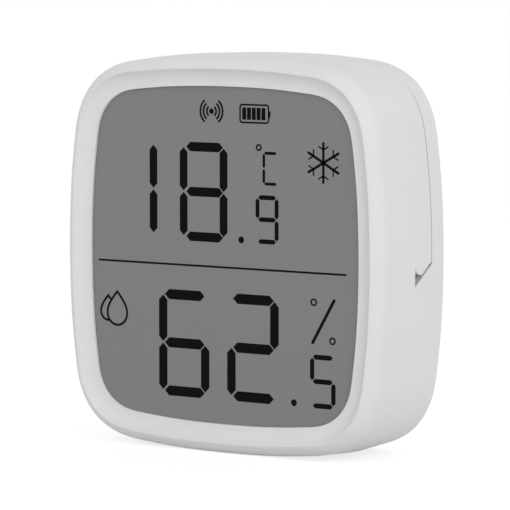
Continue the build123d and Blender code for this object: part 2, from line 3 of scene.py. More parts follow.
import bmesh
import bpy
import numpy as np
from bpy.props import FloatProperty, FloatVectorProperty, IntProperty, PointerProperty
from bpy.types import Operator, Panel, PropertyGroup
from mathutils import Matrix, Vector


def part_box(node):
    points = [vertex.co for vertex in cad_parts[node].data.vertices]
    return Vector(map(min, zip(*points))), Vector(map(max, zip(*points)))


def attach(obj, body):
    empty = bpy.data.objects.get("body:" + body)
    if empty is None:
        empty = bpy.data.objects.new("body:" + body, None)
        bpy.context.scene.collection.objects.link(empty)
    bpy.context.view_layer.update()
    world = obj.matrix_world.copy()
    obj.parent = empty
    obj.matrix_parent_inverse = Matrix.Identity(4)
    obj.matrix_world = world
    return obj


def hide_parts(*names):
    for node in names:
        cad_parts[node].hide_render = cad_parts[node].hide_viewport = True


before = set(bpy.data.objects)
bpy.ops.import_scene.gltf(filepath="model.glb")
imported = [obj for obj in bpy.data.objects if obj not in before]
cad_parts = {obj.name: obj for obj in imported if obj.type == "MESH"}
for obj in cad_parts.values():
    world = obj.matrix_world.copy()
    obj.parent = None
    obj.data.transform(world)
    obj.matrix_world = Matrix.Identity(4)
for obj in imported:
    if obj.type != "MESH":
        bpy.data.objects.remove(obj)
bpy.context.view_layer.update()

bl_info = {
    "name": "Room climate sensor",
    "version": (1, 0, 0),
    "blender": (4, 5, 0),
    "location": "View3D > Sidebar > Sensor",
    "description": "Moulded shells, display picture, finishes and studio of a small climate sensor",
    "category": "Object",
}

MM = 0.001
# How near two vertices merge, and two places on a curve count as one, in metres.
MERGE_DISTANCE, TINY = 2e-8, 1e-9
# Corner radius of ribs, tabs and slots, and how far a cutter runs past what it cuts.
SMALL_CORNER, PAST = 0.2 * MM, 1.0 * MM
# Edges that turn by more than this stay sharp.
SHARP_ANGLE = math.radians(32)
# Stations on the outline's arcs, on the ears and the slanted joint, and on round pieces.
ARC_STEPS, CORNER_STEPS, QUARTER_STEPS = 33, 41, 13
EAR_STEPS, SLANT_STEPS = 40, 60
DOT_STEPS, BUTTON_STEPS, ROUND_STEPS = 24, 96, 128
# Points on a stroke's round end, on the button's dish, and on a drop's side and round.
END_STEPS, DISH_STEPS, DROP_STEPS, BASE_STEPS = 9, 12, 15, 19
FLOOR_RINGS = 8
# Reach of a corner's fill, and middle and reaches of its ease, as shares of half the corner.
FILL_REACH, EASE_MIDDLE, EASE_NEAR, EASE_FAR = 0.42, 0.9, 0.3, 0.55
# Range of a noise's values that the finishes use.
NOISE_LOW, NOISE_HIGH = 0.3, 0.7
# Clouds, drawn lines and turned rings per metre.
CLOUD_SCALE, LINE_SCALE, RING_SCALE = 160, 1500, 1600
PLASTIC_INDEX, GLASS_INDEX = 1.5, 1.52


def length(name, description, millimetres):
    """A size that the user may change, given here in millimetres."""
    return FloatProperty(
        name=name, description=description, default=millimetres * MM, unit="LENGTH", precision=5
    )


def angle(name, description, degrees):
    """An angle, given here in degrees."""
    return FloatProperty(
        name=name, description=description, default=math.radians(degrees), subtype="ANGLE"
    )


def portion(name, description, share):
    """A part of a whole, from none of it to all."""
    return FloatProperty(name=name, description=description, default=share, min=0.0, max=1.0)


def number(name, description, count):
    """How many of a thing there are, at least one."""
    return IntProperty(name=name, description=description, default=count, min=1)


def amount(name, description, value):
    """A strength, from nothing up."""
    return FloatProperty(name=name, description=description, default=value, min=0.0)


def power(name, description, watts):
    """A lamp's power, in watts."""
    return FloatProperty(name=name, description=description, default=watts, unit="POWER")


def spot(name, description, right, back, up):
    """A place in the room, in millimetres."""
    return FloatVectorProperty(
        name=name,
        description=description,
        size=3,
        default=(right * MM, back * MM, up * MM),
        unit="LENGTH",
        precision=5,
    )


def pair(name, description, across, up):
    """A width and height, or a place measured from the middle of the outline, in millimetres."""
    return FloatVectorProperty(
        name=name,
        description=description,
        size=2,
        default=(across * MM, up * MM),
        unit="LENGTH",
        precision=5,
    )


def shade(name, description, red, green, blue):
    """A finish's colour, as linear red, green and blue."""
    return FloatVectorProperty(
        name=name,
        description=description,
        size=3,
        default=(red, green, blue),
        min=0.0,
        max=1.0,
        subtype="COLOR",
    )


class BodySizes(PropertyGroup):
    """Outline that all three shells share, and their walls."""

    width: length("Width", "Widest part of the body", 57.48)
    height: length("Outline height", "Height of the outline before its foot is cut flat", 59.48)
    depth: length("Depth", "From the crest of the lip to the back", 18.5)
    side_radius: length("Side radius", "Radius of the left and right arcs", 157.6)
    end_radius: length("End radius", "Radius of the upper and lower arcs", 203.3)
    corner_radius: length("Corner radius", "Radius of the corner arcs", 13.1)
    corner_fill: length("Corner fill", "How far a corner's middle stands out over its arc", 0.24)
    corner_ease: length("Corner ease", "How far a corner's ends stay in under its arc", 0.15)
    fill_depth: length("Fill depth", "How far in the fill has gone", 9.0)
    foot_cut: length("Foot cut", "How much the flat foot takes off", 0.45)
    wall: length("Front wall", "Wall of the front housing", 1.8)
    seam_gap: length("Seam gap", "Gap at the seams", 0.1)
    edge_round: length("Edge round", "Rounding or bevel of the moulded edges", 0.15)
    draft: angle("Draft", "How far the rear half draws in towards the back", 2.3)
    top_draft: angle("Top draft", "How far the top of the rear half draws in", 1.0)


class FrontSizes(PropertyGroup):
    """Lip, slope and window of the front housing, and its air slots."""

    crest_inset: length("Crest inset", "How far in the lip is highest", 2.1)
    crest_round: length("Crest round", "Rounding over the crest", 0.2)
    lip_inset: length("Lip edge inset", "How far in the lip leaves the side wall", 0.4)
    lip_depth: length("Lip edge depth", "Depth at which the lip leaves the side wall", 2.05)
    lip_round: length("Lip edge round", "Rounding between side wall and lip", 0.18)
    lip_bulge: length("Lip bulge", "Bow of the lip outwards", 0.29)
    slope_hollow: length("Slope hollow", "Bow of the slope inwards", 0.38)
    window_inset: length("Window inset", "How far in the window starts", 4.72)
    window_depth: length("Window edge depth", "Depth of the window's edge", 1.17)
    window_round: length("Window edge round", "Rounding of the window's edge", 0.12)
    window_wall: length("Window wall", "Height of the window's edge over the display", 0.5)
    slot_count: number("Air slots", "Air slots in the floor", 7)
    slot_pitch: length("Slot pitch", "From one air slot to the next", 2.4)
    slot_width: length("Slot width", "Width of an air slot", 1.2)
    slot_length: length("Slot length", "Length of an air slot", 3.4)
    slot_depth: length("Slot place", "Depth at which the air slots start", 4.2)


class RearSizes(PropertyGroup):
    """Rear housing: spigot, ears, deck, cell well and button sleeve."""

    spigot_inset: length("Spigot inset", "How far in the spigot's wall stands", 1.9)
    spigot_wall: length("Spigot wall", "Thickness of the spigot", 1.2)
    spigot_reach: length("Spigot reach", "How far the spigot enters the front housing", 1.75)
    deck_depth: length("Deck depth", "Depth of the deck's back face", 14.15)
    deck: length("Deck", "Thickness of the deck", 1.2)
    notch_height: length("Notch height", "Lower end of the ears from mid height", -2.05)
    notch_round: length("Notch round", "Rounding of the ears' lower corner", 1.4)
    ear_detail: length("Ear detail", "Height up to which the ears have extra stations", 5.02)
    slant_top: length("Slant top", "Upper end of the slanted joint from mid height", -0.55)
    slant_bottom: length("Slant bottom", "Lower end of the slanted joint from mid height", -3.7)
    slant_gap: length("Slant gap", "Gap along the slanted joint", 0.31)
    joint_gap: length("Joint gap", "How far the ears stay off the cover's edge", 0.16)
    ear_bevel: length("Ear bevel", "Bevel of the ears' back edge", 0.1)
    pocket: pair("Pry pocket", "Depth and height of the pocket behind the notch", 1.3, 2.2)
    pocket_corner: length("Pocket corner", "Corner radius of that pocket", 0.3)
    well_gap: length("Well gap", "Gap between cell and well", 0.3)
    well_wall: length("Well wall", "Wall of the well", 1.2)
    well_floor: length("Well floor", "Depth of the well's floor", 10.55)
    well_rim: length("Well rim", "Depth of the well's rim", 15.1)
    notch: length("Finger notch", "Width of the finger notch", 9.0)
    notch_floor: length("Finger notch floor", "Depth of the finger notch's floor", 13.65)
    tab_place: pair("Tab place", "Middle of the right tab", 21.5, 8.0)
    tab_size: pair("Tab size", "Thickness and length of a tab", 1.2, 7.0)
    tab_gap: length("Tab gap", "Gap round a tab", 0.15)
    sleeve_gap: length("Sleeve gap", "Gap between button and sleeve", 0.075)
    sleeve_wall: length("Sleeve wall", "Wall of the button's sleeve", 1.0)
    sleeve_back: length("Sleeve back", "Depth of the sleeve's rim", 15.55)
    contact_width: length("Contact slot", "Width of the slot for the rim contact", 3.6)
    contact_height: length("Contact slot height", "Height of the slot for the rim contact", 1.7)
    contact_corner: length("Contact slot corner", "Corner radius of that slot", 0.1)


class CoverSizes(PropertyGroup):
    """Rear cover: joint, tray, ribs, tabs, button hole, pad recess and magnet cups."""

    joint_bevel: length("Joint bevel", "Bevel of the front edge", 0.16)
    joint_undercut: length("Joint undercut", "How far the edge is cut back behind its lip", 0.55)
    joint_lip: length("Joint lip", "How much thicker the lip gets towards the cut's floor", 0.25)
    joint_bend: length("Joint bend", "Reach over which the joint changes its way", 0.35)
    tray_front: length("Tray front", "Depth of the tray's front edge", 14.27)
    wall: length("Cover wall", "Wall of the cover", 1.55)
    plate: length("Back plate", "Thickness of the back", 1.6)
    back_round: length("Back round", "Rounding of the back edge", 1.35)
    inner_round: length("Inner round", "Rounding inside the tray", 0.4)
    recess_place: pair("Recess place", "Middle of the pad recess", 0, -5.0)
    recess_size: pair("Recess size", "Width and height of the pad recess", 36.0, 30.0)
    recess_round: length("Recess corner", "Corner radius of the pad recess", 6.0)
    recess_depth: length("Recess depth", "Depth of the pad recess", 0.4)
    button_gap: length("Button gap", "Gap round the button in the cover", 0.3)
    cup_depth: length("Cup depth", "Depth of a magnet's cup", 1.8)
    cup_wall: length("Cup wall", "Wall of a magnet's cup", 0.8)
    cup_gap: length("Cup gap", "Gap round a magnet", 0.1)
    cup_root: length("Cup root", "How far a cup is let into the back plate", 0.5)
    rib_width: length("Rib width", "Width of a guide rib", 1.2)
    rib_start: length("Rib start", "How far behind the front seam the ribs start", 1.1)
    rib_bevel: length("Rib bevel", "Bevel at a rib's end", 0.1)
    inner_rib: portion("Inner ribs", "Place of the inner ribs, as a share of half the body", 0.42)
    outer_rib: portion("Outer ribs", "Place of the outer ribs, as a share of half the body", 0.68)
    tab_reach: length("Tab reach", "How far the tabs reach past the deck", 2.0)
    tab_bevel: length("Tab bevel", "Bevel at a tab's end", 0.15)


class ButtonSizes(PropertyGroup):
    """Pairing button: nose, flange, shank and dished pressing face."""

    place: pair("Button place", "Middle of the pairing button", 0, 18.5)
    radius: length("Button radius", "Radius of the shank", 2.5)
    back: length("Button back", "Depth of the pressing face", 18.2)
    dish: length("Button dish", "How far the pressing face is dished", 0.25)
    dish_inset: length("Dish inset", "Width of the flat ring round the dish", 0.5)
    nose: length("Nose radius", "Radius of the nose that meets the switch", 1.2)
    flange: length("Flange radius", "Radius of the flange behind the deck", 3.5)
    flange_front: length("Flange front", "Gap from the deck's ledge to the flange's front", 0.63)
    flange_back: length("Flange back", "Gap from the deck's ledge to the flange's back", 0.03)
    soft: length("Button edges", "Rounding of the edges", 0.1)
    crease: length("Button creases", "Rounding where the flange meets nose and shank", 0.05)
    rim: length("Button rim", "Rounding of the pressing face's rim", 0.35)


class CellSizes(PropertyGroup):
    """Coin cell: cap, gasket groove, can and plus sign."""

    place: pair("Cell place", "Middle of the coin cell", 0, -8.0)
    radius: length("Cell radius", "Radius of the can", 12.25)
    front: length("Cell front", "Depth of the cap", 11.0)
    back: length("Cell back", "Depth of the can's back", 16.0)
    edge: length("Cell edge", "Rounding of the can's rim", 0.5)
    cap: length("Cap radius", "Radius of the cap", 10.3)
    cap_step: length("Cap step", "How far the cap stands over the can's rim", 0.45)
    cap_round: length("Cap round", "Rounding of the cap's rim", 0.3)
    groove: pair("Gasket groove", "Width and depth of the groove round the cap", 0.5, 0.25)
    soft: length("Groove edges", "Rounding of the groove's edges", 0.1)
    sign: pair("Plus sign", "Length and width of its strokes", 4.2, 0.7)
    sign_place: length("Plus sign place", "How far it stands over the middle", 5.5)
    sign_depth: length("Plus sign depth", "How deep it is pressed in", 0.06)


class MagnetSizes(PropertyGroup):
    """The two magnets."""

    place: pair("Magnet place", "Middle of the right magnet", 13.5, 14.0)
    radius: length("Magnet radius", "Radius of a magnet", 5.0)
    thickness: length("Magnet thickness", "Thickness of a magnet", 1.6)
    rim: length("Magnet rim", "Bevel of its rims", 0.2)


class PadSizes(PropertyGroup):
    """Foam pad between coin cell and cover."""

    size: pair("Pad size", "Width and height of the foam pad", 14.0, 10.0)
    corner: length("Pad corner", "Corner radius of the pad", 2.0)
    gap: length("Pad gap", "Gap between the cell and the pad", 0.2)
    edge: length("Pad edge", "Bevel of the pad's edges", 0.12)


class PictureSizes(PropertyGroup):
    """Digits and signs on the display, placed from the middle of the outline."""

    thickness: length("Segment thickness", "How far the segments stand on the film", 0.02)
    gap: length("Segment gap", "Gap between segments", 0.13)
    line: length("Line", "Width of the signs' main lines", 0.34)
    fine_line: length("Fine line", "Width of the signs' fine lines", 0.25)
    row_line: length("Row line", "Width of the line between the rows", 0.29)
    percent_line: length("Percent line", "Width of the percent sign's bar", 0.48)
    twig_line: length("Twig line", "Width of the frost sign's twigs", 0.21)
    signal_line: length("Signal line", "Width of the signal sign's arcs", 0.3)
    one_lift: length("Lift of the one", "How far the one stands over the line of the eight", 0.16)
    tens_place: pair("Temperature place", "Lower left corner of the temperature", -20.54, 1.94)
    tens_size: pair("Temperature digit", "Size of a temperature digit", 8.6, 14.71)
    tens_stroke: length("Temperature stroke", "Stroke of a temperature digit", 1.38)
    tens_pitch: length("Temperature pitch", "From digit to digit", 12.74)
    tens_ease: length("Temperature ease", "How much later its level segments start", 0.38)
    tenth_place: pair("Tenths place", "Lower left corner of the tenths", 5.83, 2.11)
    tenth_size: pair("Tenths digit", "Size of the tenths digit", 4.04, 7.14)
    tenth_stroke: length("Tenths stroke", "Stroke of the tenths digit", 0.67)
    humid_place: pair("Humidity place", "Lower left corner of the humidity", -11.65, -21.43)
    humid_size: pair("Humidity digit", "Size of a humidity digit", 9.16, 15.97)
    humid_stroke: length("Humidity stroke", "Stroke of a humidity digit", 1.5)
    humid_pitch: length("Humidity pitch", "From digit to digit", 12.4)
    humid_ease: length("Humidity ease", "How much later its level segments start", 0.2)
    part_place: pair("Humidity tenths place", "Lower left corner of the tenths", 15.42, -21.44)
    part_size: pair("Humidity tenths digit", "Size of the tenths digit", 4.43, 7.85)
    part_stroke: length("Humidity tenths stroke", "Stroke of the tenths digit", 0.73)
    point_radius: length("Point", "Radius of a decimal point", 0.5)
    upper_point: pair("Upper point", "Decimal point of the temperature", 3.27, 2.52)
    lower_point: pair("Lower point", "Decimal point of the humidity", 12.61, -20.91)
    divider: pair("Divider", "Left and right end of the line between the rows", -22.76, 21.54)
    divider_height: length("Divider height", "Height of that line", -1.7)
    degree_place: pair("Degree place", "Middle of the degree ring", 6.38, 16.21)
    degree_radius: length("Degree radius", "Radius of the degree ring", 0.39)
    letter_place: pair("Unit place", "Lower left corner of the unit letter", 7.28, 10.93)
    letter_size: pair("Unit size", "Size of the unit letter", 2.3, 4.5)
    letter_line: length("Unit line", "Width of the unit letter's strokes", 0.43)
    percent_low: pair("Percent low", "Lower end of the percent bar", 15.87, -11.87)
    percent_high: pair("Percent high", "Upper end of the percent bar", 19.58, -5.55)
    ring_high: pair("Upper percent ring", "Middle of the upper ring", 16.04, -5.96)
    ring_low: pair("Lower percent ring", "Middle of the lower ring", 19.31, -11.46)
    ring_radius: length("Percent ring radius", "Radius of these rings", 0.44)
    frost_place: pair("Frost place", "Middle of the frost sign", 17.68, 14.36)
    frost_reach: pair("Frost sign", "Reach of its arms to the side and up", 2.97, 2.84)
    frost_line: length("Frost line", "Width of its six arms", 0.39)
    frost_twig: pair("Frost twig", "How far a twig leaves its arm, and runs along it", 0.8, 0.46)
    frost_fork: portion("Frost fork", "Where the twigs leave an arm, as a share of it", 0.665)
    signal_place: pair("Signal place", "Middle of the signal sign", -2.05, 21.3)
    signal_radius: length("Signal radius", "Radius of its outer arcs", 2.0)
    signal_middle: portion("Middle arcs", "Radius of its middle arcs, as a share of it", 0.72)
    signal_inner: portion("Inner arcs", "Radius of its inner arcs, as a share of it", 0.415)
    signal_fan: angle("Signal fan", "How far an arc runs to each side", 52)
    signal_dot: length("Signal dot", "Radius of its dot", 0.41)
    battery_place: pair("Battery place", "Middle of the battery sign", 5.59, 21.12)
    battery_size: pair("Battery size", "Size of the battery sign", 5.3, 2.86)
    battery_corner: length("Battery corner", "Corner radius of its case", 0.42)
    battery_bars: number("Battery bars", "Bars in it", 5)
    battery_bar: portion("Battery bar", "Width of a bar, as a share of its pitch", 0.8)
    battery_nub: portion("Battery nub", "Height of its nub, as a share of the case", 0.29)
    drop_place: pair("Drop place", "Middle of the drop's round", -19.42, -9.58)
    drop_size: pair("Drop size", "Half width, and height of its tip", 2.0, 3.53)
    rear_place: pair("Rear drop place", "Middle of the smaller drop", -21.12, -9.41)
    rear_share: portion("Rear drop size", "Size of the smaller drop, as a share of the drop", 0.76)


class Finishes(PropertyGroup):
    """Colours of the surfaces that show."""

    shell: shade("Shell", "Moulded shells", 0.83, 0.83, 0.825)
    film: shade("Film", "Grey ground of the display", 0.232, 0.232, 0.232)
    ink: shade("Ink", "Dark segments of the display", 0.0048, 0.0048, 0.0048)
    button: shade("Button", "Pairing button", 0.62, 0.63, 0.63)
    foam: shade("Foam", "Foam pad and gasket", 0.03, 0.03, 0.032)
    board: shade("Board", "Solder mask", 0.015, 0.12, 0.05)
    steel: shade("Steel", "Cell and shield can", 0.62, 0.61, 0.59)
    bronze: shade("Bronze", "Spring contacts", 0.72, 0.6, 0.36)
    resin: shade("Resin", "Chips and switch", 0.03, 0.03, 0.03)
    glass: shade("Glass", "Plates of the display cell", 0.86, 0.9, 0.88)
    mirror: shade("Mirror", "Mirror film behind the display cell", 0.75, 0.75, 0.75)
    holder: shade("Holder", "Display holder", 0.68, 0.68, 0.67)
    rubber: shade("Rubber", "Conductive strip", 0.22, 0.22, 0.23)
    plunger: shade("Plunger", "Plunger of the switch", 0.66, 0.64, 0.58)
    ceramic: shade("Ceramic", "Chip capacitors", 0.42, 0.33, 0.23)


class StudioSettings(PropertyGroup):
    """Camera, lamps and floor."""

    turn: angle("Turn", "Camera's turn to the right of the display's middle", 34.355)
    tilt: angle("Tilt", "Camera's height as an angle", 5.091)
    distance: length("Distance", "Camera's distance from what it aims at", 529.0)
    aim: spot("Aim", "Point that the camera aims at", 6.855, -9.25, 29.883)
    lens: FloatProperty(
        name="Lens",
        description="Focal length on a 36 mm wide frame",
        default=255.6,
        unit="CAMERA",
    )
    ambient: amount("Ambient", "Even light from all round", 0.63)
    key_power: power("Key lamp", "Lamp at the right, above", 1.7)
    key_place: spot("Key lamp place", "Where the key lamp stands", 680, -360, 280)
    key_size: length("Key lamp size", "Side of the key lamp's square", 500)
    front_power: power("Front lamp", "Lamp beside the camera", 0.68)
    front_place: spot("Front lamp place", "Where the front lamp stands", -220, -800, 340)
    front_size: length("Front lamp size", "Side of the front lamp's square", 600)
    lit_height: length("Lit height", "Height at which both lamps aim", 30)
    floor_radius: length("Floor radius", "Radius of the round floor", 2500)
    floor_drop: length("Floor drop", "How far the floor lies under the foot", 0.02)
    floor_tone: portion("Floor tone", "Tone of the floor as it lights the object", 0.8)
    floor_pale: portion("Floor in view", "Tone of the floor as the picture shows it", 0.4)
    floor_glow: amount("Floor glow", "Light that the floor adds in the picture", 0.75)


def settings(*names):
    """The named groups of sizes, as the scene holds them."""
    return [getattr(bpy.context.scene, "sensor_" + name) for name in names]


def squircle(body, heights=()):
    """Stations round the outline and the way straight in from each.

    The outline is eight arcs that meet without a kink. A point at angle t of an arc is its centre
    plus its radius times (cos t, sin t), and the way in is minus (cos t, sin t). The corner arc's
    centre is where circles of side radius less corner radius, and end radius less corner radius,
    cross. Extra stations stand on the side arcs at the given heights. A point at a distance d along
    the outline from a corner's middle, as a share of half the corner, stands out by the fill times
    exp of minus (d over the fill's reach) squared, less the ease times exp of minus ((d - m) / r)
    squared, where m is the ease's middle and r its near reach up to m and its far one beyond. So a
    corner is fuller in its middle and runs into the sides more softly than plain arcs do. The way
    in is longer by the fill over the fill depth, so that the fill fades out towards the window.
    """
    side_x = body.width / 2 - body.side_radius
    end_z = body.height / 2 - body.end_radius
    to_side = body.side_radius - body.corner_radius
    to_end = body.end_radius - body.corner_radius
    span = math.hypot(side_x, end_z)
    along = (to_side**2 - to_end**2 + span**2) / (2 * span)
    off = math.sqrt(to_side**2 - along**2)
    corner_x = side_x - (along * side_x + off * end_z) / span
    corner_z = (along * end_z - off * side_x) / span
    side_turn = math.atan2(corner_z, corner_x - side_x)
    end_turn = math.atan2(corner_z - end_z, corner_x)
    extra = np.arcsin(np.array(heights, float) / body.side_radius)
    side = np.unique(np.concatenate([np.linspace(-side_turn, side_turn, ARC_STEPS), extra]))
    corner = np.linspace(side_turn, end_turn, CORNER_STEPS)
    end = np.linspace(end_turn, math.pi - end_turn, ARC_STEPS)
    arcs = [
        (side_x, 0, body.side_radius, side),
        (corner_x, corner_z, body.corner_radius, corner),
        (0, end_z, body.end_radius, end),
        (-corner_x, corner_z, body.corner_radius, math.pi - corner[::-1]),
        (-side_x, 0, body.side_radius, math.pi - side[::-1]),
        (-corner_x, -corner_z, body.corner_radius, math.pi + corner),
        (0, -end_z, body.end_radius, math.pi + end),
        (corner_x, -corner_z, body.corner_radius, -corner[::-1]),
    ]
    half = body.corner_radius * (end_turn - side_turn) / 2
    points, inward = [], []
    for order, (x, z, radius, angles) in enumerate(arcs):
        along = radius * np.minimum(angles - angles[0], angles[-1] - angles)
        share = (1 - along / half) if order % 2 else (1 + along / half)
        fill = body.corner_fill * np.exp(-((share / FILL_REACH) ** 2))
        reach = np.where(share < EASE_MIDDLE, EASE_NEAR, EASE_FAR)
        ease = body.corner_ease * np.exp(-(((share - EASE_MIDDLE) / reach) ** 2))
        out = np.stack([np.cos(angles), np.sin(angles)], 1)
        points.append((np.array([x, z]) + (radius + fill - ease)[:, None] * out)[:-1])
        inward.append((-(1 + fill / body.fill_depth)[:, None] * out)[:-1])
    return np.concatenate(points), np.concatenate(inward)


def rounded_rectangle(width, height, radius, place):
    """Stations round a rectangle with round corners: four quarter arcs and straight sides."""
    turn = np.linspace(0, math.pi / 2, QUARTER_STEPS)
    points, inward = [], []
    for quarter, (side, level) in enumerate(((1, 1), (-1, 1), (-1, -1), (1, -1))):
        angles = turn + quarter * math.pi / 2
        out = np.stack([np.cos(angles), np.sin(angles)], 1)
        middle = np.array([side * (width / 2 - radius), level * (height / 2 - radius)])
        points.append(np.array(place) + middle + radius * out)
        inward.append(-out)
    return np.concatenate(points), np.concatenate(inward)


def circle(radius, place, steps=BUTTON_STEPS):
    """Stations round a circle."""
    angles = np.linspace(0, 2 * math.pi, steps, endpoint=False)
    out = np.stack([np.cos(angles), np.sin(angles)], 1)
    return np.array(place) + radius * out, -out


def carried(body, stations, inset, depth, shrink=0.0, middle=(0.0, 0.0)):
    """A profile carried round an outline, as a grid of stations by profile points.

    Each grid point is its station plus inset times the way in, then drawn towards the middle by the
    shrink, set back from the crest by its depth, and kept above the floor.
    """
    points, inward = stations
    inset = np.atleast_2d(inset)[..., None]
    flat = points[:, None, :] + inset * inward[:, None, :]
    shrink = np.atleast_2d(shrink)[..., None]
    flat = flat + (np.array(middle) - flat) * shrink
    depth = np.broadcast_to(np.atleast_2d(depth), flat.shape[:2])
    centre = body.height / 2 - body.foot_cut
    height = np.maximum(flat[..., 1] + centre, 0.0)
    return np.stack([flat[..., 0], depth - body.depth / 2, height], -1)


def bowed(start, end, bow, steps=14):
    """A shallow arc: the line from start to end plus 4 t (1 - t) times the bow, square to it."""
    start, end = np.array(start, float), np.array(end, float)
    share = np.linspace(0, 1, steps)[:, None]
    run = end - start
    square = np.array([-run[1], run[0]]) / np.hypot(*run)
    return start + run * share + square * bow * 4 * share * (1 - share)


def trimmed(curve, start, end):
    """A curve without a given length at its start and its end."""
    step = np.hypot(*np.diff(curve, axis=0).T)
    reach = np.concatenate([[0], np.cumsum(step)])
    inside = reach[(reach > start + TINY) & (reach < reach[-1] - end - TINY)]
    spots = np.concatenate([[start], inside, [reach[-1] - end]])
    return np.stack([np.interp(spots, reach, curve[:, axis]) for axis in (0, 1)], 1)


def rounded_profile(curves, reaches, closed, steps=9):
    """Curves joined end to end, each corner rounded over a reach.

    A corner is the rational arc (a (1-t)^2 + 2 w c t (1-t) + b t^2) over the same sum without its
    points, from a to b about the corner c. With w the cosine of half the turn it is a true circle's
    arc.
    """
    count = len(curves)
    curves = [np.array(curve, float) for curve in curves]
    reaches = list(reaches)
    if not closed:
        reaches.append(0.0)
    cut = [
        trimmed(curve, reaches[order - 1] if order or closed else 0.0, reaches[order])
        for order, curve in enumerate(curves)
    ]
    share = np.linspace(0, 1, steps)[1:-1, None]
    path = []
    for order in range(count):
        path.append(cut[order])
        if order + 1 == count and not closed:
            break
        start, end = cut[order][-1], cut[(order + 1) % count][0]
        if reaches[order] == 0:
            path[-1] = path[-1][:-1]
            continue
        corner = curves[order][-1]
        into, out = corner - start, end - corner
        turn = np.arccos(np.clip(into @ out / (np.hypot(*into) * np.hypot(*out)), -1, 1))
        weight = 2 * math.cos(turn / 2) * share * (1 - share)
        low, high = (1 - share) ** 2, share**2
        path.append((start * low + corner * weight + end * high) / (low + weight + high))
    return np.concatenate(path)


def drawn_in(body, stations, depth):
    """How far the rear half has drawn in: its slope times the depth behind the front seam.

    The slope goes from the sides' draft to the top's with the square of the way out's upward part.
    """
    upward = np.maximum(-stations[1][:, 1], 0.0) ** 2
    slope = math.tan(body.draft) * (1 - upward) + math.tan(body.top_draft) * upward
    return np.maximum(depth - body.depth / 2, 0.0) * slope[:, None]


def filled(body, stations, front, back, bevel, middle=(0.0, 0.0)):
    """A closed slab over an outline, between two depths, with bevelled edges."""
    inset = np.array([bevel, bevel, 0, 0, bevel, bevel])
    depth = np.array([front, front, front + bevel, back - bevel, back, back])
    return carried(body, stations, inset, depth, np.array([1, 0, 0, 0, 0, 1]), middle)


def flared(body, stations, front, back, flare, middle=(0.0, 0.0)):
    """A closed cutter that widens at its back end, so that it leaves a bevelled edge there."""
    inset = np.array([0, 0, 0, -2 * flare, -2 * flare])
    depth = np.array([front, front, back - flare, back + flare, back + flare])
    return carried(body, stations, inset, depth, np.array([1, 0, 0, 0, 1]), middle)


def turned(body, place, radius, depth, steps=ROUND_STEPS):
    """A profile of radius and depth turned about an axis along the depth, closed at both ends."""
    stations = circle(0.0, place, steps)
    return carried(body, stations, -np.array(radius, float), np.array(depth, float))


def quads(grid, ring, loop=True):
    """Four-sided faces between neighbours of a grid.

    The last station joins the first where loop is true, and the profile's last point its first
    where ring is true.
    """
    rows, columns = grid.shape[:2]
    here = np.arange(rows * columns).reshape(rows, columns)
    there = np.roll(here, -1, 0)
    right, across = np.roll(here, -1, 1), np.roll(there, -1, 1)
    faces = np.stack([here, right, across, there], -1)
    faces = faces if loop else faces[:-1]
    return (faces if ring else faces[:, :-1]).reshape(-1, 4)


def piece(name, surfaces):
    """One mesh object from closed grids, with poles and seams merged and faces turned outwards."""
    points, faces, count = [], [], 0
    for grid, *closed in surfaces:
        points.append(grid.reshape(-1, 3))
        faces.append(quads(grid, *closed) + count)
        count += grid.shape[0] * grid.shape[1]
    mesh = bpy.data.meshes.new(name)
    mesh.from_pydata(np.concatenate(points).tolist(), [], np.concatenate(faces).tolist())
    work = bmesh.new()
    work.from_mesh(mesh)
    bmesh.ops.remove_doubles(work, verts=work.verts, dist=MERGE_DISTANCE)
    bmesh.ops.dissolve_degenerate(work, edges=work.edges, dist=MERGE_DISTANCE)
    bmesh.ops.recalc_face_normals(work, faces=work.faces)
    work.to_mesh(mesh)
    work.free()
    if not mesh.polygons:
        raise RuntimeError(f"{name} came out empty")
    shape = bpy.data.objects.new(name, mesh)
    bpy.context.scene.collection.objects.link(shape)
    return shape


def combine(shape, surfaces, operation):
    """Cuts surfaces out of a piece, or melts them into it, and applies the result."""
    tool = piece("tool", surfaces)
    step = shape.modifiers.new("Combine", "BOOLEAN")
    step.operation = operation
    step.solver = "MANIFOLD"
    step.object = tool
    bpy.context.view_layer.objects.active = shape
    bpy.ops.object.modifier_apply(modifier=step.name)
    if not shape.data.polygons:
        raise RuntimeError(f"{shape.name} was lost where it was combined")
    mesh = tool.data
    bpy.data.objects.remove(tool)
    bpy.data.meshes.remove(mesh)


def coat(shape, finish):
    """Gives a piece one finish in place of those that it had."""
    shape.data.materials.clear()
    shape.data.materials.append(finish)


def mount(shape, carrier, finish, nodes=()):
    """Shades a piece, gives it its finish and sets it on the body that carries it."""
    coat(shape, finish)
    shape.data.shade_smooth()
    shape.data.set_sharp_from_angle(angle=SHARP_ANGLE)
    even = shape.modifiers.new("Even faces", "WEIGHTED_NORMAL")
    even.keep_sharp = True
    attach(shape, carrier)
    if nodes:
        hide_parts(*nodes)


def blank_finish(name):
    """A new material with an empty node tree, its shader and its output."""
    finish = bpy.data.materials.new(name)
    finish.use_nodes = True
    tree = finish.node_tree
    tree.nodes.clear()
    shader = tree.nodes.new("ShaderNodeBsdfPrincipled")
    output = tree.nodes.new("ShaderNodeOutputMaterial")
    tree.links.new(shader.outputs["BSDF"], output.inputs["Surface"])
    return finish, tree, shader


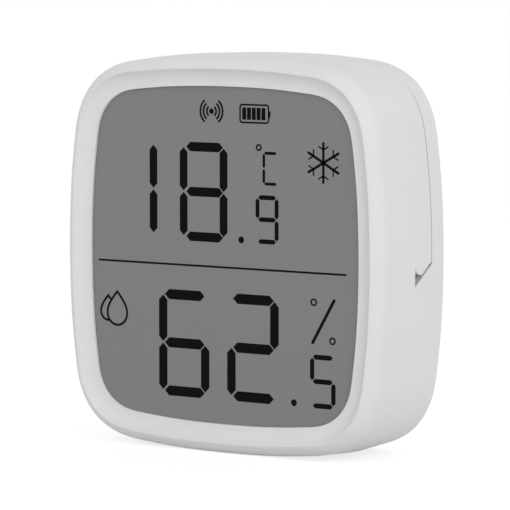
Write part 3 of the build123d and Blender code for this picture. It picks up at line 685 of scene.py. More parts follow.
def speckle(tree, scale, detail, stretch=(1, 1, 1)):
    """Noise on the piece's own coordinates; its scale is in grains per metre."""
    place = tree.nodes.new("ShaderNodeTexCoord")
    turn = tree.nodes.new("ShaderNodeMapping")
    turn.inputs["Scale"].default_value = stretch
    noise = tree.nodes.new("ShaderNodeTexNoise")
    noise.inputs["Scale"].default_value = scale
    noise.inputs["Detail"].default_value = detail
    tree.links.new(place.outputs["Object"], turn.inputs["Vector"])
    tree.links.new(turn.outputs["Vector"], noise.inputs["Vector"])
    return noise.outputs["Fac"]


def spread(tree, source, middle, reach):
    """Maps the middle part of a noise onto a range that reaches as far over a value as under it."""
    ranged = tree.nodes.new("ShaderNodeMapRange")
    ranged.inputs["From Min"].default_value = NOISE_LOW
    ranged.inputs["From Max"].default_value = NOISE_HIGH
    ranged.inputs["To Min"].default_value = middle - reach
    ranged.inputs["To Max"].default_value = middle + reach
    tree.links.new(source, ranged.inputs["Value"])
    return ranged.outputs["Result"]


def tinted(tree, source, colour, depth):
    """Mottles a colour by a share of its own value."""
    ramp = tree.nodes.new("ShaderNodeValToRGB")
    dark, light = ramp.color_ramp.elements
    dark.position, light.position = NOISE_LOW, NOISE_HIGH
    dark.color = [value * (1 - depth) for value in colour] + [1]
    light.color = [min(value * (1 + depth), 1) for value in colour] + [1]
    tree.links.new(source, ramp.inputs["Fac"])
    return ramp.outputs["Color"]


def raised(tree, source, shader, distance, strength):
    """Gives a surface relief of a real height in metres."""
    bump = tree.nodes.new("ShaderNodeBump")
    bump.inputs["Distance"].default_value = distance
    bump.inputs["Strength"].default_value = strength
    tree.links.new(source, bump.inputs["Height"])
    tree.links.new(bump.outputs["Normal"], shader.inputs["Normal"])


def moulded(name, colour, roughness, mottle=0.012, grain=9000, relief=0.004, shine=0.35):
    """Spark-textured moulded plastic: fine even grain, and a faint mottle in tone and gloss."""
    haze, strength = 0.03, 0.6
    finish, tree, shader = blank_finish(name)
    cloud = speckle(tree, CLOUD_SCALE, 3)
    tree.links.new(tinted(tree, cloud, colour, mottle), shader.inputs["Base Color"])
    tree.links.new(spread(tree, cloud, roughness, haze), shader.inputs["Roughness"])
    shader.inputs["IOR"].default_value = PLASTIC_INDEX
    shader.inputs["Specular IOR Level"].default_value = shine
    raised(tree, speckle(tree, grain, 2), shader, relief * MM, strength)
    return finish


def rolled_metal(name, colour, roughness, stretch):
    """Rolled sheet: noise drawn out along one way gives fine lines in gloss and relief."""
    mottle, haze, relief, strength = 0.06, 0.06, 0.003 * MM, 0.4
    finish, tree, shader = blank_finish(name)
    lines = speckle(tree, LINE_SCALE, 4, stretch)
    shader.inputs["Metallic"].default_value = 1.0
    tree.links.new(tinted(tree, lines, colour, mottle), shader.inputs["Base Color"])
    tree.links.new(spread(tree, lines, roughness, haze), shader.inputs["Roughness"])
    raised(tree, lines, shader, relief, strength)
    return finish


def turned_metal(name, colour, roughness, body, place):
    """Metal faced on a lathe: fine rings about the piece's own axis, in gloss and relief."""
    waver, mottle, haze, relief, strength = 0.6, 0.05, 0.05, 0.002 * MM, 0.5
    finish, tree, shader = blank_finish(name)
    own = tree.nodes.new("ShaderNodeTexCoord")
    centred = tree.nodes.new("ShaderNodeMapping")
    centre = body.height / 2 - body.foot_cut
    centred.inputs["Location"].default_value = (-place[0], 0, -place[1] - centre)
    wave = tree.nodes.new("ShaderNodeTexWave")
    wave.wave_type = "RINGS"
    wave.rings_direction = "Y"
    wave.inputs["Scale"].default_value = RING_SCALE
    wave.inputs["Distortion"].default_value = waver
    wave.inputs["Detail"].default_value = 2
    tree.links.new(own.outputs["Object"], centred.inputs["Vector"])
    tree.links.new(centred.outputs["Vector"], wave.inputs["Vector"])
    rings = wave.outputs["Fac"]
    shader.inputs["Metallic"].default_value = 1.0
    tree.links.new(tinted(tree, rings, colour, mottle), shader.inputs["Base Color"])
    tree.links.new(spread(tree, rings, roughness, haze), shader.inputs["Roughness"])
    raised(tree, rings, shader, relief, strength)
    return finish


def shell_finish():
    """The white plastic of all three shells, made once."""
    (tints,) = settings("finishes")
    made = bpy.data.materials.get("shell white")
    return made or moulded("shell white", tints.shell, 0.55)


class SENSOR_OT_front_housing(Operator):
    """Build the front housing: lip, slope and side wall swept round the outline, with air slots"""

    bl_idname = "sensor.front_housing"
    bl_label = "Front housing"

    def profile(self, body, front):
        """Inset and depth round the wall: side, bowed lip, hollow slope, window wall and inside."""
        seam = body.depth / 2
        face = front.window_depth + front.window_wall
        lip = (front.lip_inset, front.lip_depth)
        crest = (front.crest_inset, 0)
        window = (front.window_inset, front.window_depth)
        window_back = (front.window_inset, face)
        inner = (body.wall, face)
        inner_seam = (body.wall, seam)
        outer_seam = (0, seam)
        curves = [
            (outer_seam, lip),
            bowed(lip, crest, -front.lip_bulge),
            bowed(crest, window, front.slope_hollow),
            (window, window_back),
            (window_back, inner),
            (inner, inner_seam),
            (inner_seam, outer_seam),
        ]
        edge, crease = body.edge_round, body.edge_round / 5
        outside = [front.lip_round, front.crest_round, front.window_round]
        return rounded_profile(curves, outside + [crease, edge, crease, edge], closed=True)

    def slots(self, body, front):
        """Cutters for the air slots: slabs stood upright in the floor, one beside the other."""
        floor = body.height / 2 - body.foot_cut
        y = front.slot_depth + front.slot_length / 2 - body.depth / 2
        size = front.slot_width, front.slot_length, front.slot_width / 2
        cutters = []
        for count in range(front.slot_count):
            x = (count - (front.slot_count - 1) / 2) * front.slot_pitch
            slab = filled(body, rounded_rectangle(*size, (x, y)), 0, 3 * body.wall, 0, (x, y))
            across, depth, up = np.moveaxis(slab, -1, 0)
            upright = np.stack([across, up - floor, depth + body.depth / 2 - body.wall], -1)
            cutters.append((upright, False))
        return cutters

    def execute(self, context):
        body, front = settings("body", "front")
        profile = self.profile(body, front)
        ring = carried(body, squircle(body), profile[:, 0], profile[:, 1])
        shell = piece("front_housing_shell", [(ring, True)])
        combine(shell, self.slots(body, front), "DIFFERENCE")
        mount(shell, "sensor_body", shell_finish(), ["front_housing"])
        return {"FINISHED"}


class SENSOR_OT_rear_housing(Operator):
    """Build the rear housing: spigot, ears that end at the pry notch, deck, cell well and sleeve"""

    bl_idname = "sensor.rear_housing"
    bl_label = "Rear housing"

    def ear_edges(self, body, rear, heights):
        """Front and back depth of the ears at each height.

        The front edge is a quarter circle up to the seam, and the back edge is the slanted line,
        lifted square by its gap, up to the deck.
        """
        (cover,) = settings("cover")
        front = body.depth / 2 + body.seam_gap
        run, rise = cover.tray_front - front, rear.slant_top - rear.slant_bottom
        lift = rear.slant_gap * math.hypot(run, rise) / run
        back = cover.tray_front - (rear.slant_top - heights + lift) * run / rise
        up = np.clip(rear.notch_round - (heights - rear.notch_height), 0, rear.notch_round)
        low = front + rear.notch_round - np.sqrt(rear.notch_round**2 - up**2)
        return low, np.minimum(back, rear.deck_depth)

    def shell(self, body, rear):
        """One profile round the outline, whose ear stands out above the notch and ends there.

        Two stations a hair apart, just under the notch's height, end the ear in a flat face.
        """
        hair = 2e-4 * MM
        near = np.linspace(rear.notch_height, rear.ear_detail, EAR_STEPS)
        stations = squircle(body, [rear.notch_height - hair, *near])
        heights = stations[0][:, 1]
        ear = heights > rear.notch_height - hair / 2
        front, back = self.ear_edges(body, rear, heights)
        middle = body.depth / 2 + rear.spigot_reach
        front, back = np.where(ear, front, middle), np.where(ear, back, middle)
        out = np.where(ear, 0.0, rear.spigot_inset)
        edge = np.where(ear, body.edge_round, 0.0)
        rim = np.where(ear, rear.ear_bevel, 0.0)
        apart = np.where(ear, rear.joint_gap, 0.0)
        spigot = np.full(len(heights), rear.spigot_inset)
        inner = spigot + rear.spigot_wall
        tip = np.full(len(heights), body.depth / 2 - rear.spigot_reach)
        deck = np.full(len(heights), rear.deck_depth)
        ledge = deck - rear.deck
        level = np.zeros(len(heights))
        rows = [
            (inner, ledge, level + 1),
            (inner, ledge, level),
            (inner, tip, level),
            (spigot + body.edge_round, tip, level),
            (spigot, tip + body.edge_round, level),
            (spigot, front, level),
            (out + edge, front, level),
            (out, front + edge, level),
            (out, back - rim - apart, level),
            (out + rim, back - apart, level),
            (spigot, back, level),
            (spigot, deck, level),
            (inner, deck, level),
            (inner, deck, level + 1),
        ]
        inset, depth, shrink = (np.stack(part, 1) for part in zip(*rows))
        return carried(body, stations, inset + drawn_in(body, stations, depth), depth, shrink)

    def deck_holes(self, body, rear, cell, button):
        """Cutters through the deck: for the cell's well, the button's sleeve and the two tabs."""
        front = rear.deck_depth - rear.deck - PAST
        well = cell.radius + rear.well_gap + rear.well_wall / 2
        sleeve = button.radius + rear.sleeve_gap + rear.sleeve_wall / 2
        rounds = [(circle(well, cell.place, ROUND_STEPS), cell.place)]
        rounds.append((circle(sleeve, button.place), button.place))
        cutters = [
            (filled(body, line, front, body.depth, 0, middle), False) for line, middle in rounds
        ]
        size = [side + 2 * rear.tab_gap for side in rear.tab_size]
        for hand in (-1, 1):
            middle = (hand * rear.tab_place[0], rear.tab_place[1])
            slot = rounded_rectangle(*size, SMALL_CORNER, middle)
            flare = body.edge_round / 2
            cutters.append((flared(body, slot, front, rear.deck_depth, flare, middle), False))
        return cutters

    def well(self, body, rear, cell):
        """The cell's well: floor, inside, bevelled rim and outside, turned about the cell's axis."""
        inner, edge = cell.radius + rear.well_gap, body.edge_round
        outer, floor, rim = inner + rear.well_wall, rear.well_floor, rear.well_rim
        radius = [0, inner, inner, inner + edge, outer - edge, outer, outer, 0]
        depth = [floor, floor, rim - edge, rim, rim, rim - edge, floor - PAST, floor - PAST]
        return turned(body, cell.place, radius, depth), False

    def sleeve(self, body, rear, button):
        """The button's sleeve: a collar with a bevelled rim, turned about the button's axis."""
        inner, edge = button.radius + rear.sleeve_gap, body.edge_round
        outer, back, ledge = inner + rear.sleeve_wall, rear.sleeve_back, rear.deck_depth - rear.deck
        radius = [inner, inner, inner + edge, outer - edge, outer, outer]
        depth = [ledge, back - edge, back, back, back - edge, ledge]
        return turned(body, button.place, radius, depth), True

    def pry_pocket(self, body, rear, hand):
        """Cutter for the pocket behind the pry notch, on the side that the hand's sign gives."""
        deep, tall = rear.pocket
        level = (rear.notch_height + rear.slant_bottom) / 2
        front = body.depth / 2 + deep / 2
        middle = (hand * (body.width / 2 - rear.spigot_inset), level)
        pocket = rounded_rectangle(2 * deep, tall, rear.pocket_corner, middle)
        return filled(body, pocket, front, front + 2 * deep, 0, middle), False

    def well_openings(self, body, rear, cell):
        """Cutters for the finger notch beside the cell and the rim contact's slot above it."""
        beside = (cell.radius + rear.well_gap + rear.well_wall / 2, cell.place[1])
        notch = rounded_rectangle(rear.notch, rear.notch, rear.notch / 3, beside)
        above = (0, cell.place[1] + cell.radius + rear.contact_height / 2)
        size = rear.contact_width, rear.contact_height, rear.contact_corner
        slot = rounded_rectangle(*size, above)
        return [
            (filled(body, notch, rear.notch_floor, body.depth, 0, beside), False),
            (filled(body, slot, rear.well_floor - 2 * PAST, body.depth, 0, above), False),
        ]

    def execute(self, context):
        body, rear, cell, button = settings("body", "rear", "cell", "button")
        shell = piece("rear_housing_shell", [(self.shell(body, rear), False)])
        combine(shell, self.deck_holes(body, rear, cell, button), "DIFFERENCE")
        combine(shell, [self.well(body, rear, cell)], "UNION")
        combine(shell, [self.sleeve(body, rear, button)], "UNION")
        for hand in (-1, 1):
            combine(shell, [self.pry_pocket(body, rear, hand)], "DIFFERENCE")
        combine(shell, self.well_openings(body, rear, cell), "DIFFERENCE")
        mount(shell, "sensor_body", shell_finish(), ["rear_housing"])
        return {"FINISHED"}


class SENSOR_OT_rear_cover(Operator):
    """Build the rear cover: tray and skirt swept round the outline, ribs, tabs, cups and recess"""

    bl_idname = "sensor.rear_cover"
    bl_label = "Rear cover"

    def front_edge(self, body, rear, cover, heights):
        """Depth of the cover's front edge: the skirt's, then the slanted line, then the tray's."""
        skirt = body.depth / 2 + body.seam_gap
        soft, far = cover.joint_bend, body.height
        path = rounded_profile(
            [
                ((-far, skirt), (rear.slant_bottom, skirt)),
                ((rear.slant_bottom, skirt), (rear.slant_top, cover.tray_front)),
                ((rear.slant_top, cover.tray_front), (far, cover.tray_front)),
            ],
            [soft, soft],
            closed=False,
        )
        return np.interp(heights, path[:, 0], path[:, 1])

    def shell(self, body, rear, cover):
        """One closed profile whose front edge follows the slanted joint.

        Behind a thin lip the edge is cut back, so that the joint reads as a dark line. Of the
        outside only the round of the back edge is kept, and what lies inwards of it.
        """
        low, high = rear.slant_bottom - PAST / 2, rear.slant_top + PAST / 2
        near = np.linspace(low, high, SLANT_STEPS)
        stations = squircle(body, near)
        edge = self.front_edge(body, rear, cover, stations[0][:, 1])
        back, plate = body.depth, body.depth - cover.plate
        inwards = 4 * cover.back_round
        curves = [((inwards, back), (0, back)), ((0, back), (0, back - 2 * cover.back_round))]
        outside = rounded_profile(curves, [cover.back_round], closed=False)
        curves = [
            ((cover.wall, plate - 2 * cover.inner_round), (cover.wall, plate)),
            ((cover.wall, plate), (inwards, plate)),
        ]
        inside = rounded_profile(curves, [cover.inner_round], closed=False)
        outside = outside[outside[:, 1] > back - cover.back_round - PAST / 100]
        soft, wall, under = cover.joint_bevel, cover.wall, cover.joint_undercut
        front = np.array([(0, soft), (soft, 0), (soft + cover.joint_lip, under), (wall, under)])
        profile = np.concatenate([outside[:1], outside, front, inside, inside[-1:]])
        shrink, follows = np.zeros(len(profile)), np.zeros(len(profile))
        shrink[[0, -1]] = 1
        first = len(outside) + 1
        follows[first : first + len(front)] = 1
        depth = profile[:, 1] + follows * edge[:, None]
        inset = profile[:, 0] + drawn_in(body, stations, depth)
        return carried(body, stations, inset, depth, shrink)

    def inner_pieces(self, body, rear, cover):
        """Guide ribs and tabs, each let into the wall or plate that carries it."""
        plate = body.depth - cover.plate
        sunk = plate + cover.plate / 3
        reach = rear.spigot_inset - cover.wall / 2 - body.edge_round / 2
        front = body.depth / 2 + cover.rib_start
        points = squircle(body)[0]
        low, right = points[points[:, 1] < 0], points[points[:, 0] > 0]
        low, right = low[np.argsort(low[:, 0])], right[np.argsort(right[:, 1])]
        far = cover.wall / 2 + reach / 2
        surfaces = []
        for share in (cover.inner_rib, cover.outer_rib):
            x, z = share * body.width / 2, -share * body.height / 2
            level = np.interp(x, *low.T) + far
            out = np.interp(z, right[:, 1], right[:, 0]) - far
            for hand in (-1, 1):
                lower = (hand * x, level), (cover.rib_width, reach)
                beside = (hand * out, z), (reach, cover.rib_width)
                for middle, size in (lower, beside):
                    rib = rounded_rectangle(*size, SMALL_CORNER, middle)
                    rib = filled(body, rib, front, sunk, cover.rib_bevel, middle)
                    surfaces.append((rib, False))
        tip = rear.deck_depth - rear.deck - cover.tab_reach
        for hand in (-1, 1):
            middle = (hand * rear.tab_place[0], rear.tab_place[1])
            tab = rounded_rectangle(*rear.tab_size, SMALL_CORNER, middle)
            surfaces.append((filled(body, tab, tip, sunk, cover.tab_bevel, middle), False))
        return surfaces

    def cups(self, body, cover, magnets):
        """The magnets' cups: walls with bevelled rims, turned about the magnets' axes."""
        plate, edge = body.depth - cover.plate, body.edge_round
        inner = magnets.radius + cover.cup_gap
        outer, front, root = inner + cover.cup_wall, plate - cover.cup_depth, plate + cover.cup_root
        radius = [inner, inner, inner + edge, outer - edge, outer, outer]
        depth = [root, front + edge, front, front, front + edge, root]
        middles = [(hand * magnets.place[0], magnets.place[1]) for hand in (-1, 1)]
        return [(turned(body, middle, radius, depth), True) for middle in middles]

    def openings(self, body, rear, cover, button):
        """Cutters for the button's hole and the pad's recess, both widened at the back face."""
        hole = circle(button.radius + cover.button_gap, button.place)
        recess = rounded_rectangle(*cover.recess_size, cover.recess_round, cover.recess_place)
        back, floor, edge = body.depth, body.depth - cover.recess_depth, body.edge_round
        return [
            (flared(body, hole, rear.deck_depth, back, edge, button.place), False),
            (flared(body, recess, floor, back, edge / 2, cover.recess_place), False),
        ]

    def execute(self, context):
        names = ("body", "rear", "cover", "button", "magnets")
        body, rear, cover, button, magnets = settings(*names)
        shell = piece("rear_cover_shell", [(self.shell(body, rear, cover), False)])
        combine(shell, self.inner_pieces(body, rear, cover), "UNION")
        combine(shell, self.cups(body, cover, magnets), "UNION")
        combine(shell, self.openings(body, rear, cover, button), "DIFFERENCE")
        mount(shell, "rear_cover", shell_finish(), ["rear_cover"])
        return {"FINISHED"}


class SENSOR_OT_picture(Operator):
    """Draw the display's picture: digits, units and signs as thin dark segments on the film"""

    bl_idname = "sensor.picture"
    bl_label = "Display picture"

    def plate(self, points):
        """A closed thin plate over a flat shape without hollows."""
        points = np.array(points, float)
        stations = (points, np.zeros_like(points))
        depth = [self.face, self.face, self.face - self.thickness, self.face - self.thickness]
        shape = carried(
            self.body, stations, np.zeros(4), depth, np.array([1, 0, 0, 1]), points.mean(0)
        )
        self.surfaces.append((shape, False))

    def bar(self, start, end, stroke):
        """A segment: a straight bar whose ends come to a point."""
        start, end = np.array(start), np.array(end)
        way = (end - start) / np.hypot(*(end - start))
        side = np.array([-way[1], way[0]])
        half = stroke / 2
        self.plate(
            [
                start,
                start + (way - side) * half,
                end - (way + side) * half,
                end,
                end - (way - side) * half,
                start + (way + side) * half,
            ]
        )

    def stroke(self, start, end, width):
        """A straight line with round ends: half circles about both ends."""
        start, end = np.array(start), np.array(end)
        turn = math.atan2(*(end - start)[::-1])
        angles = np.linspace(-math.pi / 2, math.pi / 2, END_STEPS) + turn
        cap = np.stack([np.cos(angles), np.sin(angles)], 1) * width / 2
        self.plate(np.concatenate([end + cap, start - cap]))

    def band(self, path, width, closed):
        """A line of even width along a path, mitred at its corners, and closed at open ends.

        At a corner the side step is (n0 + n1) / (1 + n0.n1), for the normals n0 and n1 beside it.
        """
        path = np.array(path, float)
        ahead = np.roll(path, -1, 0) - path
        if not closed:
            ahead[-1] = ahead[-2]
        ahead /= np.hypot(*ahead.T)[:, None]
        behind = np.roll(ahead, 1, 0)
        if not closed:
            behind[0] = ahead[0]
        before = np.stack([-behind[:, 1], behind[:, 0]], 1)
        after = np.stack([-ahead[:, 1], ahead[:, 0]], 1)
        side = (before + after) / (1 + (before * after).sum(1))[:, None]
        half = width / 2
        back, front = self.face, self.face - self.thickness
        inset = np.array([-half, half, half, -half])
        grid = carried(self.body, (path, side), inset, np.array([back, back, front, front]))
        if not closed:
            ends = grid[[0, -1]].mean(1, keepdims=True).repeat(4, 1)
            grid = np.concatenate([ends[:1], grid, ends[1:]])
        self.surfaces.append((grid, True, closed))

    def arc(self, place, radius, width, start=0.0, end=2 * math.pi):
        """A ring, or a part of one."""
        whole = end - start >= 2 * math.pi
        angles = np.linspace(start, end, ARC_STEPS, endpoint=not whole)
        path = np.array(place) + radius * np.stack([np.cos(angles), np.sin(angles)], 1)
        self.band(path, width, whole)

    def digit(self, value, place, size, stroke, ease=0.0):
        """The lit segments of a seven-segment digit, whose level ones start later by the ease."""
        left, low = place[0] + stroke / 2, place[1] + stroke / 2
        right, high = place[0] + size[0] - stroke / 2, place[1] + size[1] - stroke / 2
        middle, gap = (low + high) / 2, self.gap
        start = left + gap + ease
        spots = {
            "top": ((start, high), (right - gap, high)),
            "middle": ((start, middle), (right - gap, middle)),
            "bottom": ((start, low), (right - gap, low)),
            "upper left": ((left, middle + gap), (left, high - gap)),
            "upper right": ((right, middle + gap), (right, high - gap)),
            "lower left": ((left, low + gap), (left, middle - gap)),
            "lower right": ((right, low + gap), (right, middle - gap)),
        }
        unlit = {
            1: ("top", "middle", "bottom", "upper left", "lower left"),
            2: ("upper left", "lower right"),
            5: ("upper right", "lower left"),
            6: ("upper right",),
            8: (),
            9: ("lower left",),
        }[value]
        for name, ends in spots.items():
            if name not in unlit:
                self.bar(*ends, stroke)

    def readings(self, sizes):
        """Both rows of digits with their points."""
        x, z = sizes.tens_place
        self.digit(1, (x, z + sizes.one_lift), sizes.tens_size, sizes.tens_stroke)
        x += sizes.tens_pitch
        self.digit(8, (x, z), sizes.tens_size, sizes.tens_stroke, sizes.tens_ease)
        self.digit(9, sizes.tenth_place, sizes.tenth_size, sizes.tenth_stroke)
        x, z = sizes.humid_place
        self.digit(6, (x, z), sizes.humid_size, sizes.humid_stroke, sizes.humid_ease)
        x += sizes.humid_pitch
        self.digit(2, (x, z), sizes.humid_size, sizes.humid_stroke, sizes.humid_ease)
        self.digit(5, sizes.part_place, sizes.part_size, sizes.part_stroke)
        for place in (sizes.upper_point, sizes.lower_point):
            self.plate(circle(sizes.point_radius, place, DOT_STEPS)[0])

    def units(self, sizes):
        """Degree ring and unit letter, percent sign, and the line between the rows."""
        self.arc(sizes.degree_place, sizes.degree_radius, sizes.fine_line)
        (x, z), (width, tall) = sizes.letter_place, sizes.letter_size
        step, line = sizes.letter_line / 2 + sizes.gap, sizes.letter_line
        for level in (z, z + tall):
            self.stroke((x + step, level), (x + width - step, level), line)
        for low in (z, z + tall / 2):
            self.stroke((x, low + step), (x, low + tall / 2 - step), line)
        self.stroke(sizes.percent_low, sizes.percent_high, sizes.percent_line)
        self.arc(sizes.ring_high, sizes.ring_radius, sizes.fine_line)
        self.arc(sizes.ring_low, sizes.ring_radius, sizes.fine_line)
        level = sizes.divider_height
        self.stroke((sizes.divider[0], level), (sizes.divider[1], level), sizes.row_line)

    def signs(self, sizes):
        """Frost sign with six arms and their twigs, and signal sign with a dot between arcs."""
        middle, reach = np.array(sizes.frost_place), np.array(sizes.frost_reach)
        for arm in range(6):
            turn = arm * math.pi / 3
            way = np.array([math.sin(turn), math.cos(turn)])
            side = np.array([way[1], -way[0]])
            self.stroke(middle, middle + way * reach, sizes.frost_line)
            fork = middle + way * reach * sizes.frost_fork
            for hand in (-1, 1):
                twig = side * hand * sizes.frost_twig[0] + way * sizes.frost_twig[1]
                self.stroke(fork, fork + twig, sizes.twig_line)
        self.plate(circle(sizes.signal_dot, sizes.signal_place, DOT_STEPS)[0])
        place, width, fan = sizes.signal_place, sizes.signal_line, sizes.signal_fan
        for share in (sizes.signal_inner, sizes.signal_middle, 1.0):
            for turn in (0, math.pi):
                self.arc(place, sizes.signal_radius * share, width, turn - fan, turn + fan)

    def battery(self, sizes):
        """Battery sign: case, nub and bars, with the bars' gaps taken from the case's line."""
        (x, z), (width, tall) = sizes.battery_place, sizes.battery_size
        line, bars = sizes.fine_line, sizes.battery_bars
        case = rounded_rectangle(width - line, tall - line, sizes.battery_corner, (x, z))[0]
        self.band(case, line, True)
        corner, nub_width, nub_place = line / 4, 1.6 * line, (x + width / 2, z)
        nub = rounded_rectangle(nub_width, tall * sizes.battery_nub, corner, nub_place)[0]
        self.plate(nub)
        free_width, free_height, left = width - 4.2 * line, tall - 4.3 * line, line / 3
        pitch = free_width / bars
        size = pitch * sizes.battery_bar, free_height
        for count in range(bars):
            place = (x - left + (count - (bars - 1) / 2) * pitch, z)
            self.plate(rounded_rectangle(*size, corner, place)[0])

    def drop(self, place, half, tip):
        """Outline of a drop: a half circle below, and sides of half width times cos (pi s / 2).

        Here s is the share of the way up to the tip, so the sides stand upright at the widest part
        and are nearly straight where they meet in the tip.
        """
        share = np.linspace(0, 1, DROP_STEPS)
        side = np.stack([half * np.cos(share * math.pi / 2), tip * share], 1)
        low = np.linspace(math.pi, 2 * math.pi, BASE_STEPS)[1:-1]
        base = half * np.stack([np.cos(low), np.sin(low)], 1)
        other = side[::-1][1:] * np.array([-1, 1])
        return np.array(place) + np.concatenate([side, other, base])

    def drops(self, sizes):
        """A drop, and the part of a smaller one that shows beside it."""
        half, tip = sizes.drop_size
        inner = half - sizes.line / 2
        front = self.drop(sizes.drop_place, inner, tip * inner / half)
        self.band(front, sizes.line, True)
        rear_half, rear_tip = half * sizes.rear_share, tip * sizes.rear_share
        inner = rear_half - sizes.line / 2
        rear = self.drop(sizes.rear_place, inner, rear_tip * inner / rear_half)
        rear = np.roll(rear, -1, 0)
        shown = self.outside(rear, front)
        start = int(np.argmax(shown & ~np.roll(shown, 1)))
        self.band(np.roll(rear, -start, 0)[: int(shown.sum())], sizes.line, False)

    def outside(self, points, outline):
        """Which points lie outside a closed outline: those that it winds round less than once."""
        way = outline[None] - points[:, None]
        bearing = np.arctan2(way[..., 1], way[..., 0])
        turn = np.diff(np.concatenate([bearing, bearing[:, :1]], 1), axis=1)
        turn = (turn + math.pi) % (2 * math.pi) - math.pi
        return np.abs(turn.sum(1)) < math.pi

    def execute(self, context):
        sizes, front, tints = settings("picture", "front", "finishes")
        (self.body,), self.surfaces = settings("body"), []
        self.face = front.window_depth + front.window_wall
        self.thickness, self.gap = sizes.thickness, sizes.gap
        self.readings(sizes)
        self.units(sizes)
        self.signs(sizes)
        self.battery(sizes)
        self.drops(sizes)
        shape = piece("display_picture", self.surfaces)
        ink = moulded("display ink", tints.ink, 0.5, 0.05, 20000, 0.001, shine=0.03)
        mount(shape, "sensor_body", ink)
        film = moulded("display film", tints.film, 0.45, 0.01, 14000, 0.002)
        coat(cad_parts["display_film"], film)
        return {"FINISHED"}


class SENSOR_OT_pairing_button(Operator):
    """Build the pairing button: nose, flange, shank and dished pressing face, turned as one"""

    bl_idname = "sensor.pairing_button"
    bl_label = "Pairing button"

    def profile(self, body, rear, button):
        """Radius and depth from the nose's middle, round flange and shank, to the dish's middle.

        The dish's depth is its full depth times 1 - (1 - s) squared, for the share s of the way in.
        """
        low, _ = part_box("pairing_button")
        tip, ledge = low.y + body.depth / 2, rear.deck_depth - rear.deck
        nose, flange, shank, back = button.nose, button.flange, button.radius, button.back
        front, rest = ledge - button.flange_front, ledge - button.flange_back
        face = shank - button.dish_inset
        share = np.linspace(0, 1, DISH_STEPS)
        dish = np.stack([face * (1 - share), back - button.dish * (1 - (1 - share) ** 2)], 1)
        corners = [(0, tip), (nose, tip), (nose, front), (flange, front), (flange, rest)]
        corners += [(shank, rest), (shank, back), (face, back)]
        curves = [*zip(corners, corners[1:]), dish]
        soft, crease, rim = button.soft, button.crease, button.rim
        return rounded_profile(curves, [soft, crease, soft, soft, crease, rim, soft], closed=False)

    def execute(self, context):
        body, rear, button, tints = settings("body", "rear", "button", "finishes")
        radius, depth = self.profile(body, rear, button).T
        solid = turned(body, button.place, radius, depth, BUTTON_STEPS)
        shape = piece("pairing_button_cap", [(solid, False)])
        grey = moulded("button grey", tints.button, 0.5)
        mount(shape, "pairing_button", grey, ["pairing_button"])
        return {"FINISHED"}


class SENSOR_OT_coin_cell(Operator):
    """Build the coin cell: raised cap, gasket groove, rounded can, and the plus sign in its back"""

    bl_idname = "sensor.coin_cell"
    bl_label = "Coin cell"

    def profile(self, cell):
        """Radius and depth from the cap's middle over the groove and the can's rim to the back."""
        step, (wide, deep) = cell.front + cell.cap_step, cell.groove
        cap, rim, can = cell.cap, cell.cap + wide, cell.radius
        corners = [(0, cell.front), (cap, cell.front), (cap, step + deep), (rim, step + deep)]
        corners += [(rim, step), (can, step), (can, cell.back), (0, cell.back)]
        reaches = [cell.cap_round, cell.soft, cell.soft, cell.soft, cell.edge, cell.edge]
        return rounded_profile([*zip(corners, corners[1:])], reaches, closed=False)

    def execute(self, context):
        body, cell, tints = settings("body", "cell", "finishes")
        shape = piece("coin_cell_can", [(turned(body, cell.place, *self.profile(cell).T), False)])
        middle = (cell.place[0], cell.place[1] + cell.sign_place)
        for size in (tuple(cell.sign), tuple(cell.sign)[::-1]):
            stroke = rounded_rectangle(*size, SMALL_CORNER, middle)
            cut = filled(body, stroke, cell.back - cell.sign_depth, cell.back + PAST, 0, middle)
            combine(shape, [(cut, False)], "DIFFERENCE")
        steel = turned_metal("cell steel", tints.steel, 0.3, body, cell.place)
        mount(shape, "sensor_body", steel, ["coin_cell"])
        return {"FINISHED"}


class SENSOR_OT_magnets(Operator):
    """Build the two plated magnets, discs with bevelled rims"""

    bl_idname = "sensor.magnets"
    bl_label = "Magnets"

    def execute(self, context):
        body, cover, magnets, tints = settings("body", "cover", "magnets", "finishes")
        back = body.depth - cover.plate
        front = back - magnets.thickness
        surfaces = []
        for hand in (-1, 1):
            middle = (hand * magnets.place[0], magnets.place[1])
            disc = circle(magnets.radius, middle)
            surfaces.append((filled(body, disc, front, back, magnets.rim, middle), False))
        shape = piece("magnet_discs", surfaces)
        plated = rolled_metal("magnet plating", tints.steel, 0.22, (1, 1, 1))
        mount(shape, "rear_cover", plated, ["magnets"])
        return {"FINISHED"}


class SENSOR_OT_foam_pad(Operator):
    """Build the foam pad that keeps the cell in its well, and finish the display's foam ring"""

    bl_idname = "sensor.foam_pad"
    bl_label = "Foam pad"

    def execute(self, context):
        names = ("body", "cover", "cell", "pad", "finishes")
        body, cover, cell, pad, tints = settings(*names)
        outline = rounded_rectangle(*pad.size, pad.corner, cell.place)
        front, back = cell.back + pad.gap, body.depth - cover.plate
        slab = filled(body, outline, front, back, pad.edge, cell.place)
        shape = piece("cell_foam_pad", [(slab, False)])
        foam = moulded("foam", tints.foam, 0.9, 0.25, 2600, 0.03)
        mount(shape, "rear_cover", foam, ["cell_pad"])
        coat(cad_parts["display_gasket"], foam)
        return {"FINISHED"}


